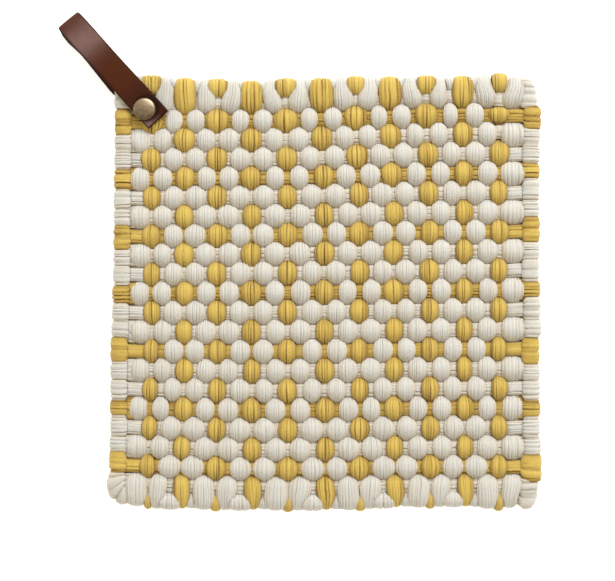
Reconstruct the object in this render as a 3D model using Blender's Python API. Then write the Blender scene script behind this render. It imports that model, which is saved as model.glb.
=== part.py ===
"""A chunky square pot holder: a thick plain-woven cotton pad with a riveted leather hanging loop.

The pad lies flat on its back on z = 0, with its face up (+Z). Warp columns run along Y and weft rows
run along X. Each crossing raises one bead, on the face or on the back by turns. The strap is folded
over the pad's upper left corner and a tubular rivet clamps both of its ends there.

Sizes below are in millimetres and are turned into metres when a mesh is made.
"""

import math

import bmesh
import bpy
import numpy as np

MM = 0.001

# The weave: warp columns and weft rows, and where the middle crossing lies.
COLUMNS = 33
ROWS = 21
COLUMN_PITCH = 5.466
ROW_PITCH = 9.142
MIDDLE_COLUMN = 16
MIDDLE_ROW = 10
MIDDLE_X = -2.46
MIDDLE_Y = 0.74
COLOUR_REPEAT = 3  # every third warp column is mustard, the rest are natural

# The hand-beaten weave isn't square: rows climb to the right, and fan out a little more there.
ROW_CLIMB = 0.059  # per column
ROW_FAN = 0.0061  # extra pitch per column
ROW_BOW = 1.3  # the lower rows hang this much in the middle
FOOT_SPREAD = 2.1  # the lower left columns lean out by this much
HEAD_LEAN = 1.4  # the upper right-of-middle columns lean in by this much

# How far a warp column stands from its even place.
COLUMN_DRIFT = (
    # column, shift
    (0, 0.0),
    (4, -0.95),
    (7, -1.85),
    (10, -2.1),
    (13, -1.55),
    (16, -0.4),
    (22, -0.6),
    (25, 0.0),
    (32, 0.3),
)

# The pad's outline, edge by edge: a place along the edge and how far the edge reaches there.
LEFT_EDGE = (
    # y, x reached
    (-93.0, -104.6),
    (-73.0, -104.0),
    (-28.0, -103.5),
    (0.0, -102.6),
    (36.0, -102.1),
    (82.0, -101.6),
)
RIGHT_EDGE = (
    # y, x reached
    (-96.0, 98.6),
    (-82.0, 100.7),
    (-65.0, 99.6),
    (-22.0, 99.2),
    (-15.0, 100.6),
    (0.0, 99.3),
    (72.0, 99.2),
    (84.0, 100.1),
    (94.0, 98.4),
)
TOP_EDGE = (
    # x, y reached
    (-85.0, 102.2),
    (-68.0, 101.2),
    (-38.0, 99.9),
    (-20.0, 100.8),
    (12.0, 101.8),
    (44.0, 102.1),
    (63.0, 102.3),
    (80.0, 103.2),
    (95.0, 101.0),
)
BOTTOM_EDGE = (
    # x, y reached
    (-101.0, -99.0),
    (-80.0, -101.6),
    (-38.0, -102.3),
    (6.0, -102.3),
    (26.0, -101.2),
    (60.0, -100.5),
    (82.0, -101.9),
    (97.0, -99.2),
)
CORNER_RADIUS = 4.5

# Heights of the pad, from the surface that it lies on.
THICKNESS = 12.0
BEAD_SHOULDER = 1.1  # a face bead's pointed ends stand this much lower than its crown
VALLEY_DEPTH = 3.3  # from a bead's crown down to the crossings around it

# A bead's crossings, crown and flat, as shares of the column pitch (U) and the row pitch (V).
VALLEY_V = 0.322
CROSS_V = 0.678
CROWN_U = 0.55
CROWN_V = 0.24
TIP_V = 0.56
FLAT_U = 0.65
FLAT_V = 0.50
EDGE_V = 0.85  # the last beads turn over the pad's edge here, past the last row
EDGE_CROWN_V = 0.66
SIDE_ROLL_INSET = 3.0  # the side rolls crest this far inside the outline
END_ROLL_INSET = 1.4  # and the turned-over beads this far
SIDE_GROOVE = 1.0  # the rows' grooves cut this deep into the sides
END_GROOVE = 1.3
WEDGE_HALF = 0.45  # half the width of a back bead's end where it shows at the edge, in columns
TOP_WEDGES = (1,)  # remainders, over six columns, of the warps whose ends show there
BOTTOM_WEDGES = (1, 3)

# The leather strap, in its own frame: S runs from the fold to the cut ends, T across, to the left.
STRAP_WIDTH = 12.5
STRAP_THICKNESS = 1.6
STRAP_LENGTH = 63.7
FOLD_X = -123.82
FOLD_Y = 129.05
STRAP_HEADING = math.radians(-47.84)
UNDER_DRIFT = 0.9  # the back layer strays this much to the left between fold and rivet
STRAP_STATIONS = 44
STRAP_ROUTE = (
    # s, z of the strap's middle, from the cut end on the face round the fold to the one on the back
    (63.7, 11.1),
    (56.0, 11.1),
    (48.0, 11.15),
    (40.0, 11.25),
    (30.0, 10.95),
    (20.0, 10.1),
    (12.0, 9.0),
    (6.0, 7.7),
    (2.0, 5.9),
    (0.8, 4.0),
    (2.2, 1.9),
    (5.5, 0.9),
    (12.0, 0.8),
    (25.0, 0.8),
    (36.0, 0.85),
    (44.0, 1.7),
    (50.0, 2.55),
    (56.0, 2.6),
    (63.7, 2.6),
)

# The pad is pressed thin between the two strap ends.
PRESSED_TOP = 9.8
PRESSED_UNDER = 3.9
PRESS_MARGIN = 3.5
PRESS_START = 26.0
PRESS_SLOPE_TOP = 0.3
PRESS_SLOPE_UNDER = 0.45

# The rivet, on its own axis.
RIVET_S = 55.25
RIVET_T = 1.28
CLEARANCE = 0.3
POST_RADIUS = 1.6
POST_TOP = 13.2
BASE_RADIUS = 5.0
BASE_HEIGHT = 1.5
CAP_RADIUS = 5.25
CAP_UNDER = 12.2
CAP_TOP = 14.3
SOCKET_ROOF = 13.5
ROUND_STEPS = 28
HOLE_STEPS = 16

# Colours: red, green, blue, as linear values.
NATURAL = (0.78, 0.74, 0.68)
MUSTARD = (0.70, 0.42, 0.08)
BROWN = (0.085, 0.028, 0.014)
AGED_BRASS = (0.45, 0.36, 0.22)


def clear_scene():
    for item in list(bpy.data.objects):
        bpy.data.objects.remove(item, do_unlink=True)


def make_material(name, colour, roughness, metallic=0.0):
    material = bpy.data.materials.new(name)
    material.use_nodes = True
    shader = material.node_tree.nodes["Principled BSDF"]
    shader.inputs["Base Color"].default_value = (*colour, 1.0)
    shader.inputs["Roughness"].default_value = roughness
    shader.inputs["Metallic"].default_value = metallic
    return material


def link_mesh(name, mesh, materials):
    item = bpy.data.objects.new(name, mesh)
    for material in materials:
        mesh.materials.append(material)
    bpy.context.scene.collection.objects.link(item)
    return item


def read_table(table, place):
    """The second column of a table at a place along its first, straight between its rows."""
    places, values = zip(*table)
    return float(np.interp(place, places, values))


def ramp(value, start, end):
    """0 at start, 1 at end, straight between and level outside."""
    return min(max((value - start) / (end - start), 0.0), 1.0)


def column_shift(column, row):
    """How far a crossing stands sideways from the even lattice."""
    foot = FOOT_SPREAD * ramp(column, 10, 5) * ramp(row, 14, 19)
    head = HEAD_LEAN * ramp(column, 12, 18) * ramp(column, 31, 26) * ramp(row, 6, 1)
    return read_table(COLUMN_DRIFT, column) - foot - head


def lattice_point(column, row):
    """Where a crossing of the weave lies, in millimetres."""
    across = column - MIDDLE_COLUMN
    down = row - MIDDLE_ROW
    half = MIDDLE_COLUMN + 1
    bow = ROW_BOW * (1 - (across / half) ** 2) * ramp(row, 9, 19)
    x = MIDDLE_X + COLUMN_PITCH * across + column_shift(column, row)
    y = MIDDLE_Y + ROW_CLIMB * across - (ROW_PITCH + ROW_FAN * across) * down - bow
    return x, y


def strap_place(s, t):
    """The strap's own frame (along, to the left) in the pad's frame."""
    along = (math.cos(STRAP_HEADING), math.sin(STRAP_HEADING))
    left = (along[1], -along[0])
    return FOLD_X + s * along[0] + t * left[0], FOLD_Y + s * along[1] + t * left[1]


def strap_coordinates(x, y):
    """The reverse of strap_place."""
    dx = x - FOLD_X
    dy = y - FOLD_Y
    along = (math.cos(STRAP_HEADING), math.sin(STRAP_HEADING))
    return dx * along[0] + dy * along[1], dx * along[1] - dy * along[0]


def pressed(x, y, z):
    """The height z after the strap's two ends have pressed the corner between them."""
    s, t = strap_coordinates(x, y)
    if s < PRESS_START:
        return z
    beside = abs(t) - STRAP_WIDTH / 2 - PRESS_MARGIN
    beyond = s - STRAP_LENGTH - PRESS_MARGIN
    away = max(beside, beyond, 0.0)
    lowest = max(PRESSED_UNDER - PRESS_SLOPE_UNDER * away, 0.0)
    return min(max(z, lowest), PRESSED_TOP + PRESS_SLOPE_TOP * away)


class PadMesh:
    """Collects the pad's points, shared by their place in the weave, and its triangles."""

    def __init__(self):
        self.points = []
        self.faces = []
        self.colours = []
        self.shared = {}

    def add(self, x, y, z):
        self.points.append((x * MM, y * MM, pressed(x, y, z) * MM))
        return len(self.points) - 1

    def at(self, side, column, row, z):
        """The point of one side at a place in the weave, made once."""
        key = (side, round(column, 3), round(row, 3))
        if key not in self.shared:
            self.shared[key] = self.add(*lattice_point(column, row), z)
        return self.shared[key]

    def triangle(self, side, a, b, c, colour=0):
        """A triangle that runs anticlockwise seen from the face, turned round on the back."""
        self.faces.append((a, b, c) if side == "face" else (a, c, b))
        self.colours.append(colour)

    def fan(self, side, hub, ring, colour=0):
        for first, second in zip(ring, ring[1:]):
            self.triangle(side, hub, first, second, colour)

    def join_loops(self, side, outer, inner, colour):
        """Fills between two closed loops, each a list of (turn, index) in order of turn."""
        outer_count = len(outer)
        inner_count = len(inner)
        i = 0
        j = min(range(inner_count), key=lambda k: abs(turn_gap(inner[k][0], outer[0][0])))
        first = j
        while i < outer_count or j < first + inner_count:
            next_outer = turn_at(outer, i + 1) if i < outer_count else math.inf
            next_inner = turn_at(inner, j + 1) if j < first + inner_count else math.inf
            here = outer[i % outer_count][1]
            there = inner[j % inner_count][1]
            base = turn_at(inner, first) - turn_gap(turn_at(inner, first), turn_at(outer, 0))
            if next_outer - outer[0][0] <= next_inner - base:
                self.triangle(side, here, outer[(i + 1) % outer_count][1], there, colour)
                i += 1
            else:
                self.triangle(side, here, inner[(j + 1) % inner_count][1], there, colour)
                j += 1


def turn_gap(first, second):
    """The signed difference of two angles, the short way round."""
    return (first - second + math.pi) % math.tau - math.pi


def turn_at(loop, index):
    """The angle of a loop's point, counted on past a full turn."""
    return loop[index % len(loop)][0] + math.tau * (index // len(loop))


def turn_of(column, row, place):
    """The angle at which a place of the weave lies from a bead's middle."""
    across = (place[0] - column) * COLUMN_PITCH
    up = (row - place[1]) * ROW_PITCH
    return math.atan2(up, across) % math.tau


def sorted_loop(column, row, places, indices):
    """Pairs (turn, index), rotated so that their turns climb."""
    pairs = [(turn_of(column, row, place), index) for place, index in zip(places, indices)]
    start = min(range(len(pairs)), key=lambda k: pairs[k][0])
    return pairs[start:] + pairs[:start]


def end_stations(wedges):
    """The stations along a top or bottom edge: (column, swell on the face, swell on the back)."""
    stations = []
    for column in range(COLUMNS):
        if column % 2 == 0:
            stations.append((column, 1.0, 0.2))
        elif column % 6 in wedges:
            stations.append((column - WEDGE_HALF, 0.0, 0.6))
            stations.append((column, 0.65, 1.0))
            stations.append((column + WEDGE_HALF, 0.0, 0.6))
        else:
            stations.append((column, 0.0, 1.0))
    return stations


def side_stations():
    """The stations down a side roll: (row, swell)."""
    stations = [(-0.5, 0.0)]
    for row in range(ROWS):
        stations.append((row, 1.0))
        stations.append((row + 0.5, 0.0))
    return stations


def rim_stations():
    """The whole rim, anticlockwise seen from the face.

    Each station is (edge, column, row, swell on the face, swell on the back), and a corner's last
    value is the angle in degrees that it faces instead.
    """
    last_column = COLUMNS
    bottom = ROWS - 1 + EDGE_V
    top = -EDGE_V
    rim = [("corner", -1, bottom, 0.7, 202.5), ("corner", -0.6, bottom + 0.05, 0.7, 247.5)]
    rim += [("bottom", c, bottom, face, back) for c, face, back in end_stations(BOTTOM_WEDGES)]
    rim += [
        ("corner", last_column - 0.4, bottom + 0.05, 0.7, 292.5),
        ("corner", last_column, bottom, 0.7, 337.5),
    ]
    rim += [("right", last_column, r, swell, swell) for r, swell in reversed(side_stations())]
    rim += [
        ("corner", last_column, top, 0.7, 22.5),
        ("corner", last_column - 0.4, top - 0.05, 0.7, 67.5),
    ]
    rim += [("top", c, top, face, back) for c, face, back in reversed(end_stations(TOP_WEDGES))]
    rim += [("corner", -0.6, top - 0.05, 0.7, 112.5), ("corner", -1, top, 0.7, 157.5)]
    rim += [("left", -1, r, swell, swell) for r, swell in side_stations()]
    return rim


def rim_height(station, side):
    """How high the rim's inner line lies on the face, or how far in on the back."""
    edge, _, _, face_swell, back_swell = station
    if edge in ("left", "right"):
        depth = 3.6 - 0.2 * face_swell
    elif edge == "corner":
        depth = 2.2
    else:
        depth = 3.1 - 2.0 * (face_swell if side == "face" else back_swell)
    return THICKNESS - depth if side == "face" else depth


def rolled_edge(station, x, y):
    """The three points in which the pad's edge turns over at a station: upper, outermost, lower."""
    edge, _, _, face_swell, back_swell = station
    middle = THICKNESS / 2
    if edge in ("left", "right"):
        outward = -1 if edge == "left" else 1
        reach = read_table(LEFT_EDGE if edge == "left" else RIGHT_EDGE, y)
        groove = SIDE_GROOVE * (1 - face_swell)
        crest = reach - outward * SIDE_ROLL_INSET
        drop = 1.0 + 1.2 * (1 - face_swell)
        return (
            (crest, y, THICKNESS - drop),
            (reach - outward * groove, y, middle),
            (crest, y, drop),
        )
    if edge == "corner":
        angle = math.radians(back_swell)
        side_x = read_table(LEFT_EDGE if math.cos(angle) < 0 else RIGHT_EDGE, y)
        end_y = read_table(TOP_EDGE if math.sin(angle) > 0 else BOTTOM_EDGE, x)
        centre_x = side_x - math.copysign(CORNER_RADIUS, math.cos(angle))
        centre_y = end_y - math.copysign(CORNER_RADIUS, math.sin(angle))
        points = []
        for radius, height in (
            (CORNER_RADIUS - 1.6, THICKNESS - 2.2),
            (CORNER_RADIUS, middle),
            (CORNER_RADIUS - 1.6, 2.2),
        ):
            points.append(
                (centre_x + radius * math.cos(angle), centre_y + radius * math.sin(angle), height)
            )
        return tuple(points)
    outward = 1 if edge == "top" else -1
    reach = read_table(TOP_EDGE if edge == "top" else BOTTOM_EDGE, x)
    groove = END_GROOVE * (1 - max(face_swell, 0.5 * back_swell))
    shoulder = reach - outward * END_ROLL_INSET
    return (
        (x, shoulder, THICKNESS - 3.9 + 1.5 * face_swell),
        (x, reach - outward * groove, middle),
        (x, shoulder, 3.9 - 1.5 * back_swell),
    )


class Rim:
    """The rim's stations with their point on one side of the pad, found by place."""

    def __init__(self, pad, side):
        self.places = []
        self.indices = []
        for station in rim_stations():
            column, row = station[1], station[2]
            self.places.append((round(column, 3), round(row, 3)))
            self.indices.append(pad.at(side, column, row, rim_height(station, side)))

    def run(self, start, end):
        """The places and indices from one place to another, anticlockwise."""
        first = self.places.index((round(start[0], 3), round(start[1], 3)))
        last = self.places.index((round(end[0], 3), round(end[1], 3)))
        count = (last - first) % len(self.places)
        order = [(first + k) % len(self.places) for k in range(count + 1)]
        return [self.places[k] for k in order], [self.indices[k] for k in order]


def groove_beside(column, toward, wedges):
    """Where the edge groove between an end bead and its neighbour column lies."""
    if column % 2 == 1 and column % 6 in wedges:
        return column + toward * WEDGE_HALF
    return column


def cell_loop(pad, rim, side, column, row, valley):
    """The closed outline of one bead's cell, anticlockwise: places and point indices."""
    last_column = COLUMNS - 1
    last_row = ROWS - 1
    places = []
    indices = []

    def inner(u, v):
        places.append((u, v))
        indices.append(pad.at(side, u, v, valley))

    def along_rim(start, end):
        found_places, found_indices = rim.run(start, end)
        places.extend(found_places)
        indices.extend(found_indices)

    bottom = last_row + EDGE_V
    top = -EDGE_V
    lower_left = (groove_beside(column - 1, 1, BOTTOM_WEDGES), bottom)
    lower_right = (groove_beside(column + 1, -1, BOTTOM_WEDGES), bottom)
    upper_right = (groove_beside(column + 1, -1, TOP_WEDGES), top)
    upper_left = (groove_beside(column - 1, 1, TOP_WEDGES), top)
    left_end = (-1, row + 0.5)
    left_start = (-1, row - 0.5)
    right_start = (COLUMNS, row + 0.5)
    right_end = (COLUMNS, row - 0.5)

    if row == last_row:
        along_rim(
            left_start if column == 0 else lower_left,
            right_end if column == last_column else lower_right,
        )
    else:
        inner(column, row + CROSS_V)
    if column < last_column:
        inner(column + 1, row + VALLEY_V)
        inner(column + 1, row - VALLEY_V)
    elif 0 < row < last_row:
        along_rim(right_start, right_end)
    if row == 0:
        along_rim(
            right_start if column == last_column else upper_right,
            left_end if column == 0 else upper_left,
        )
    else:
        inner(column, row - CROSS_V)
    if column > 0:
        inner(column - 1, row - VALLEY_V)
        inner(column - 1, row + VALLEY_V)
    elif 0 < row < last_row:
        along_rim(left_start, left_end)
    return places, indices


def crown_places(column, row, side):
    """The raised loop of a bead, anticlockwise, each (column, row, is a pointed end)."""
    at_top = row == 0
    at_bottom = row == ROWS - 1
    if side == "face":
        half, body, tip = CROWN_U, CROWN_V, TIP_V
    else:
        half, body, tip = FLAT_U, 0.0, FLAT_V
    places = []
    if at_bottom:
        places.append((column - 0.75 * half, row + EDGE_CROWN_V, False))
        places.append((column + 0.75 * half, row + EDGE_CROWN_V, False))
    else:
        places.append((column, row + tip, True))
    places.append((column + half, row + (0 if at_bottom else body), False))
    if body and not at_top:
        places.append((column + half, row - body, False))
    if at_top:
        places.append((column + 0.75 * half, row - EDGE_CROWN_V, False))
        places.append((column - 0.75 * half, row - EDGE_CROWN_V, False))
    else:
        places.append((column, row - tip, True))
    if body and not at_top:
        places.append((column - half, row - body, False))
    places.append((column - half, row + (0 if at_bottom else body), False))
    return places


def add_bead(pad, rim, side, column, row):
    """One bead of the weave: a low crowned facet on the face, a flat one on the back."""
    colour = 1 if column % COLOUR_REPEAT == 1 else 0
    crown = THICKNESS if side == "face" else 0.0
    valley = THICKNESS - VALLEY_DEPTH if side == "face" else VALLEY_DEPTH
    places, indices = cell_loop(pad, rim, side, column, row, valley)
    ring = crown_places(column, row, side)
    ring_indices = []
    for u, v, pointed in ring:
        lower = BEAD_SHOULDER if pointed and side == "face" else 0.0
        ring_indices.append(pad.add(*lattice_point(u, v), crown - lower))
    outer = sorted_loop(column, row, places, indices)
    inner = sorted_loop(column, row, ring, ring_indices)
    pad.join_loops(side, outer, inner, colour)
    flat = [index for index, place in zip(ring_indices, ring) if not place[2]]
    if side == "back":
        flat = ring_indices
    pad.fan(side, flat[0], flat[1:], colour)
    if side == "face":
        for k, place in enumerate(ring):
            if place[2]:
                before = ring_indices[k - 1]
                after = ring_indices[(k + 1) % len(ring)]
                pad.triangle(side, before, ring_indices[k], after, colour)


def add_side_necks(pad, rim, side, parity, valley):
    """The weft between the side roll and the first bead, where a row's first warp is on the other side."""
    last_column = COLUMNS - 1
    last_row = ROWS - 1
    for row in range(ROWS):
        if row % 2 == parity:
            continue
        for column, start, end in (
            (0, (-1, row - 0.5), (-1, row + 0.5)),
            (last_column, (COLUMNS, row + 0.5), (COLUMNS, row - 0.5)),
        ):
            above = pad.at(side, column, row - VALLEY_V, valley)
            below = pad.at(side, column, row + VALLEY_V, valley)
            if row == 0 and column == 0:
                start = (0, -EDGE_V)
            elif row == 0:
                end = (last_column, -EDGE_V)
            elif row == last_row and column == 0:
                end = (0, last_row + EDGE_V)
            elif row == last_row:
                start = (last_column, last_row + EDGE_V)
            run = rim.run(start, end)[1]
            near, far = (below, above) if column == 0 else (above, below)
            middle = run[len(run) // 2]
            ring = run[run.index(middle) + 1 :] + [near, far] + run[: run.index(middle)]
            pad.fan(side, middle, ring)


def add_wedges(pad, rim, parity, side, valley):
    """The ends of the other side's beads where they come over the edge between two long beads."""
    for column in range(1, COLUMNS, 2):
        if column % 2 == parity:
            continue
        for row, wedges, sign in ((0, TOP_WEDGES, -1), (ROWS - 1, BOTTOM_WEDGES, 1)):
            if column % 6 not in wedges:
                continue
            edge = row + sign * EDGE_V
            tip = pad.at(side, column, row + sign * VALLEY_V, valley)
            reach = WEDGE_HALF * sign
            left, middle, right = rim.run((column - reach, edge), (column + reach, edge))[1]
            colour = 1 if column % COLOUR_REPEAT == 1 else 0
            pad.fan(side, middle, [right, tip, left], colour)


def add_edge_walls(pad, face_rim, back_rim):
    """The pad's rolled edge, from the face's rim to the back's."""
    rows = [[], [], []]
    for station in rim_stations():
        x, y = lattice_point(station[1], station[2])
        for row, point in zip(rows, rolled_edge(station, x, y)):
            row.append(pad.add(*point))
    bands = [face_rim.indices, *rows, back_rim.indices]
    count = len(face_rim.indices)
    for upper, lower in zip(bands, bands[1:]):
        for i in range(count):
            j = (i + 1) % count
            pad.triangle("face", lower[i], lower[j], upper[j])
            pad.triangle("face", lower[i], upper[j], upper[i])


def add_rivet_hole(item, top):
    """Cuts a round hole on the rivet's axis through a piece."""
    x, y = strap_place(RIVET_S, RIVET_T)
    mesh = bpy.data.meshes.new("rivet_hole")
    bm = bmesh.new()
    bmesh.ops.create_cone(
        bm,
        cap_ends=True,
        segments=HOLE_STEPS,
        radius1=(POST_RADIUS + CLEARANCE) * MM,
        radius2=(POST_RADIUS + CLEARANCE) * MM,
        depth=2 * top * MM,
    )
    bm.to_mesh(mesh)
    bm.free()
    cutter = bpy.data.objects.new("rivet_hole_" + item.name, mesh)
    cutter.location = (x * MM, y * MM, 0.0)
    cutter.hide_render = True
    cutter.display_type = "WIRE"
    bpy.context.scene.collection.objects.link(cutter)
    cut = item.modifiers.new("rivet_hole", "BOOLEAN")
    cut.operation = "DIFFERENCE"
    cut.object = cutter
    # EXACT leaves slivers along the pad's many small facets, which then don't close.
    cut.solver = "MANIFOLD"


def make_pad(natural, mustard):
    pad = PadMesh()
    rims = {}
    for side, parity in (("face", 0), ("back", 1)):
        valley = THICKNESS - VALLEY_DEPTH if side == "face" else VALLEY_DEPTH
        rim = rims[side] = Rim(pad, side)
        for row in range(ROWS):
            for column in range(COLUMNS):
                if (column + row) % 2 == parity:
                    add_bead(pad, rim, side, column, row)
        add_side_necks(pad, rim, side, parity, valley)
        add_wedges(pad, rim, parity, side, valley)
    add_edge_walls(pad, rims["face"], rims["back"])
    mesh = bpy.data.meshes.new("woven_pad")
    mesh.from_pydata(pad.points, [], pad.faces)
    item = link_mesh("woven_pad", mesh, (natural, mustard))
    mesh.polygons.foreach_set("material_index", pad.colours)
    add_rivet_hole(item, 2 * THICKNESS)
    return item


def smooth_route(route, count):
    """Points evenly along a Catmull-Rom curve through a route."""
    points = np.array([route[0], *route, route[-1]], float)
    fine = []
    for k in range(1, len(points) - 2):
        a, b, c, d = points[k - 1 : k + 3]
        for step in np.linspace(0.0, 1.0, 16, endpoint=False):
            fine.append(
                b
                + 0.5 * step * (c - a)
                + step**2 * (a - 2.5 * b + 2 * c - 0.5 * d)
                + step**3 * (1.5 * (b - c) + 0.5 * (d - a))
            )
    fine.append(points[-2])
    fine = np.array(fine)
    lengths = np.concatenate([[0.0], np.cumsum(np.linalg.norm(np.diff(fine, axis=0), axis=1))])
    even = np.linspace(0.0, lengths[-1], count)
    return np.stack([np.interp(even, lengths, fine[:, axis]) for axis in (0, 1)], axis=1)


def make_strap(leather):
    route = smooth_route(STRAP_ROUTE, STRAP_STATIONS)
    route[:, 1] = np.maximum(route[:, 1], STRAP_THICKNESS / 2)
    heading = np.gradient(route, axis=0)
    heading /= np.linalg.norm(heading, axis=1)[:, None]
    bm = bmesh.new()
    loops = []
    for (s, z), (ahead, climb) in zip(route, heading):
        under = z < 4.0
        drift = UNDER_DRIFT * math.sin(math.pi * ramp(s, 0.0, RIVET_S - 5)) if under else 0.0
        loop = []
        for across, out in ((-1, -1), (1, -1), (1, 1), (-1, 1)):
            offset = out * STRAP_THICKNESS / 2
            x, y = strap_place(s + offset * climb, drift + across * STRAP_WIDTH / 2)
            height = max(z - offset * ahead, 0.0)
            loop.append(bm.verts.new((x * MM, y * MM, height * MM)))
        loops.append(loop)
    for first, second in zip(loops, loops[1:]):
        for k in range(4):
            bm.faces.new((first[k], first[(k + 1) % 4], second[(k + 1) % 4], second[k]))
    bm.faces.new(loops[0][::-1])
    bm.faces.new(loops[-1])
    bmesh.ops.recalc_face_normals(bm, faces=bm.faces)
    mesh = bpy.data.meshes.new("leather_loop")
    bm.to_mesh(mesh)
    bm.free()
    item = link_mesh("leather_loop", mesh, (leather,))
    add_rivet_hole(item, 2 * THICKNESS)
    return item


def make_turned(name, profile, material):
    """A turned piece on the rivet's axis, from a profile of (radius, height) that ends on the axis."""
    bm = bmesh.new()
    verts = [bm.verts.new((radius * MM, 0.0, height * MM)) for radius, height in profile]
    edges = [bm.edges.new(pair) for pair in zip(verts, verts[1:])]
    bmesh.ops.spin(
        bm,
        geom=verts + edges,
        axis=(0.0, 0.0, 1.0),
        cent=(0.0, 0.0, 0.0),
        angle=math.tau,
        steps=ROUND_STEPS,
        use_merge=True,
    )
    bmesh.ops.remove_doubles(bm, verts=bm.verts, dist=0.00001)
    bmesh.ops.recalc_face_normals(bm, faces=bm.faces)
    mesh = bpy.data.meshes.new(name)
    bm.to_mesh(mesh)
    bm.free()
    mesh.shade_smooth()
    mesh.set_sharp_from_angle(angle=math.radians(35))
    item = link_mesh(name, mesh, (material,))
    x, y = strap_place(RIVET_S, RIVET_T)
    item.location = (x * MM, y * MM, 0.0)
    return item


def make_rivet(brass):
    dome_rise = CAP_TOP - CAP_UNDER
    cap = (
        (0.0, CAP_TOP),
        (0.26 * CAP_RADIUS, CAP_TOP - 0.03 * dome_rise),
        (0.52 * CAP_RADIUS, CAP_TOP - 0.12 * dome_rise),
        (0.76 * CAP_RADIUS, CAP_TOP - 0.30 * dome_rise),
        (0.93 * CAP_RADIUS, CAP_TOP - 0.55 * dome_rise),
        (CAP_RADIUS, CAP_TOP - 0.80 * dome_rise),
        (0.96 * CAP_RADIUS, CAP_UNDER),
        (POST_RADIUS + CLEARANCE, CAP_UNDER),
        (POST_RADIUS + CLEARANCE, SOCKET_ROOF),
        (0.0, SOCKET_ROOF),
    )
    base = (
        (0.0, POST_TOP),
        (POST_RADIUS, POST_TOP),
        (POST_RADIUS, BASE_HEIGHT),
        (0.96 * BASE_RADIUS, BASE_HEIGHT),
        (BASE_RADIUS, 0.8 * BASE_HEIGHT),
        (0.93 * BASE_RADIUS, 0.35 * BASE_HEIGHT),
        (0.76 * BASE_RADIUS, 0.0),
        (0.0, 0.0),
    )
    make_turned("rivet_cap", cap, brass)
    make_turned("rivet_post", base, brass)


def main():
    clear_scene()
    natural = make_material("cotton_natural", NATURAL, 0.92)
    mustard = make_material("cotton_mustard", MUSTARD, 0.92)
    leather = make_material("leather_brown", BROWN, 0.45)
    brass = make_material("brass_aged", AGED_BRASS, 0.42, 1.0)
    make_pad(natural, mustard)
    make_strap(leather)
    make_rivet(brass)


main()
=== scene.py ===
"""The looks of a chunky square pot holder: soft woven cotton bundles and a riveted leather hanging loop.

The pad is drawn bundle by bundle. Each warp column and each weft row is one swept bundle of soft
strands, which follows its own path over and under the others and turns back at the pad's edges.
Sizes are in millimetres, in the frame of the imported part, and turn into metres when a mesh is made.
"""

import logging
import math
from dataclasses import dataclass, field
from enum import Enum

import bpy
import numpy as np
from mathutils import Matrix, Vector


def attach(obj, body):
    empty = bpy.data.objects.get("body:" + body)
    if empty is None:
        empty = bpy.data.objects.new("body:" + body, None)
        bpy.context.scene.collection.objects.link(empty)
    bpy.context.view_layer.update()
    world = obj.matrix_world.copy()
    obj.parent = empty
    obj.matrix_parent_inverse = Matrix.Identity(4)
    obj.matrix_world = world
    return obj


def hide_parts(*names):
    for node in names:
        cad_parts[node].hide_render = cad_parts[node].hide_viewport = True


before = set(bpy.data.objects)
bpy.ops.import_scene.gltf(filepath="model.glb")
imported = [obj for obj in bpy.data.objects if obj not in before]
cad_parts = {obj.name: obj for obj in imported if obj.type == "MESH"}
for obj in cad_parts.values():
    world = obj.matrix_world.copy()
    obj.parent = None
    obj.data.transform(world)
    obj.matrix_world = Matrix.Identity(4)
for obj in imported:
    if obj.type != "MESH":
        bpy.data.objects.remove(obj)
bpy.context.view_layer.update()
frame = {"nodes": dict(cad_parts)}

MM = 0.001
BODY = "root"
PAD_NODE = "woven_pad"

SEED = 11
THICKNESS = 12.0
MIDDLE = THICKNESS / 2
# How far outside the pad's outline the insets of the bundles' turns start.
EDGE_REACH = 1.1

Tree = bpy.types.NodeTree
Socket = bpy.types.NodeSocket
Colour = tuple[float, float, float]

# The kinds of a node group's sockets, and the places of the colour sockets on Blender's Mix node.
NUMBER = "NodeSocketFloat"
VECTOR = "NodeSocketVector"
MIX_FIRST = 6
MIX_SECOND = 7
MIX_RESULT = 2

# How far the crossings stand from the even lattice: sideways at three heights, and how much lower.
DRIFT = (
    # column, sideways at the head, in the middle, at the foot, lower at the head, lower at the foot
    (0, 0.00, 0.15, -1.80, 0.0, 0.15),
    (4, -0.75, -1.05, -2.65, 0.0, 0.90),
    (7, -1.65, -1.85, -2.70, 0.2, 1.60),
    (10, -2.20, -2.00, -1.65, 0.6, 2.00),
    (13, -2.20, -1.20, -1.05, 0.7, 2.05),
    (16, -1.65, 0.10, 0.20, 0.4, 1.95),
    (19, -1.70, 0.10, 0.45, 0.1, 1.60),
    (22, -2.00, 0.00, 0.40, -0.1, 1.10),
    (25, -1.00, 0.50, 0.85, -0.3, 0.95),
    (28, -0.20, 0.60, 0.75, -0.3, 0.85),
    (31, 0.75, 0.65, 0.65, 0.0, 0.90),
    (32, 1.80, 1.80, 1.50, 0.5, 1.00),
)

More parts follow.
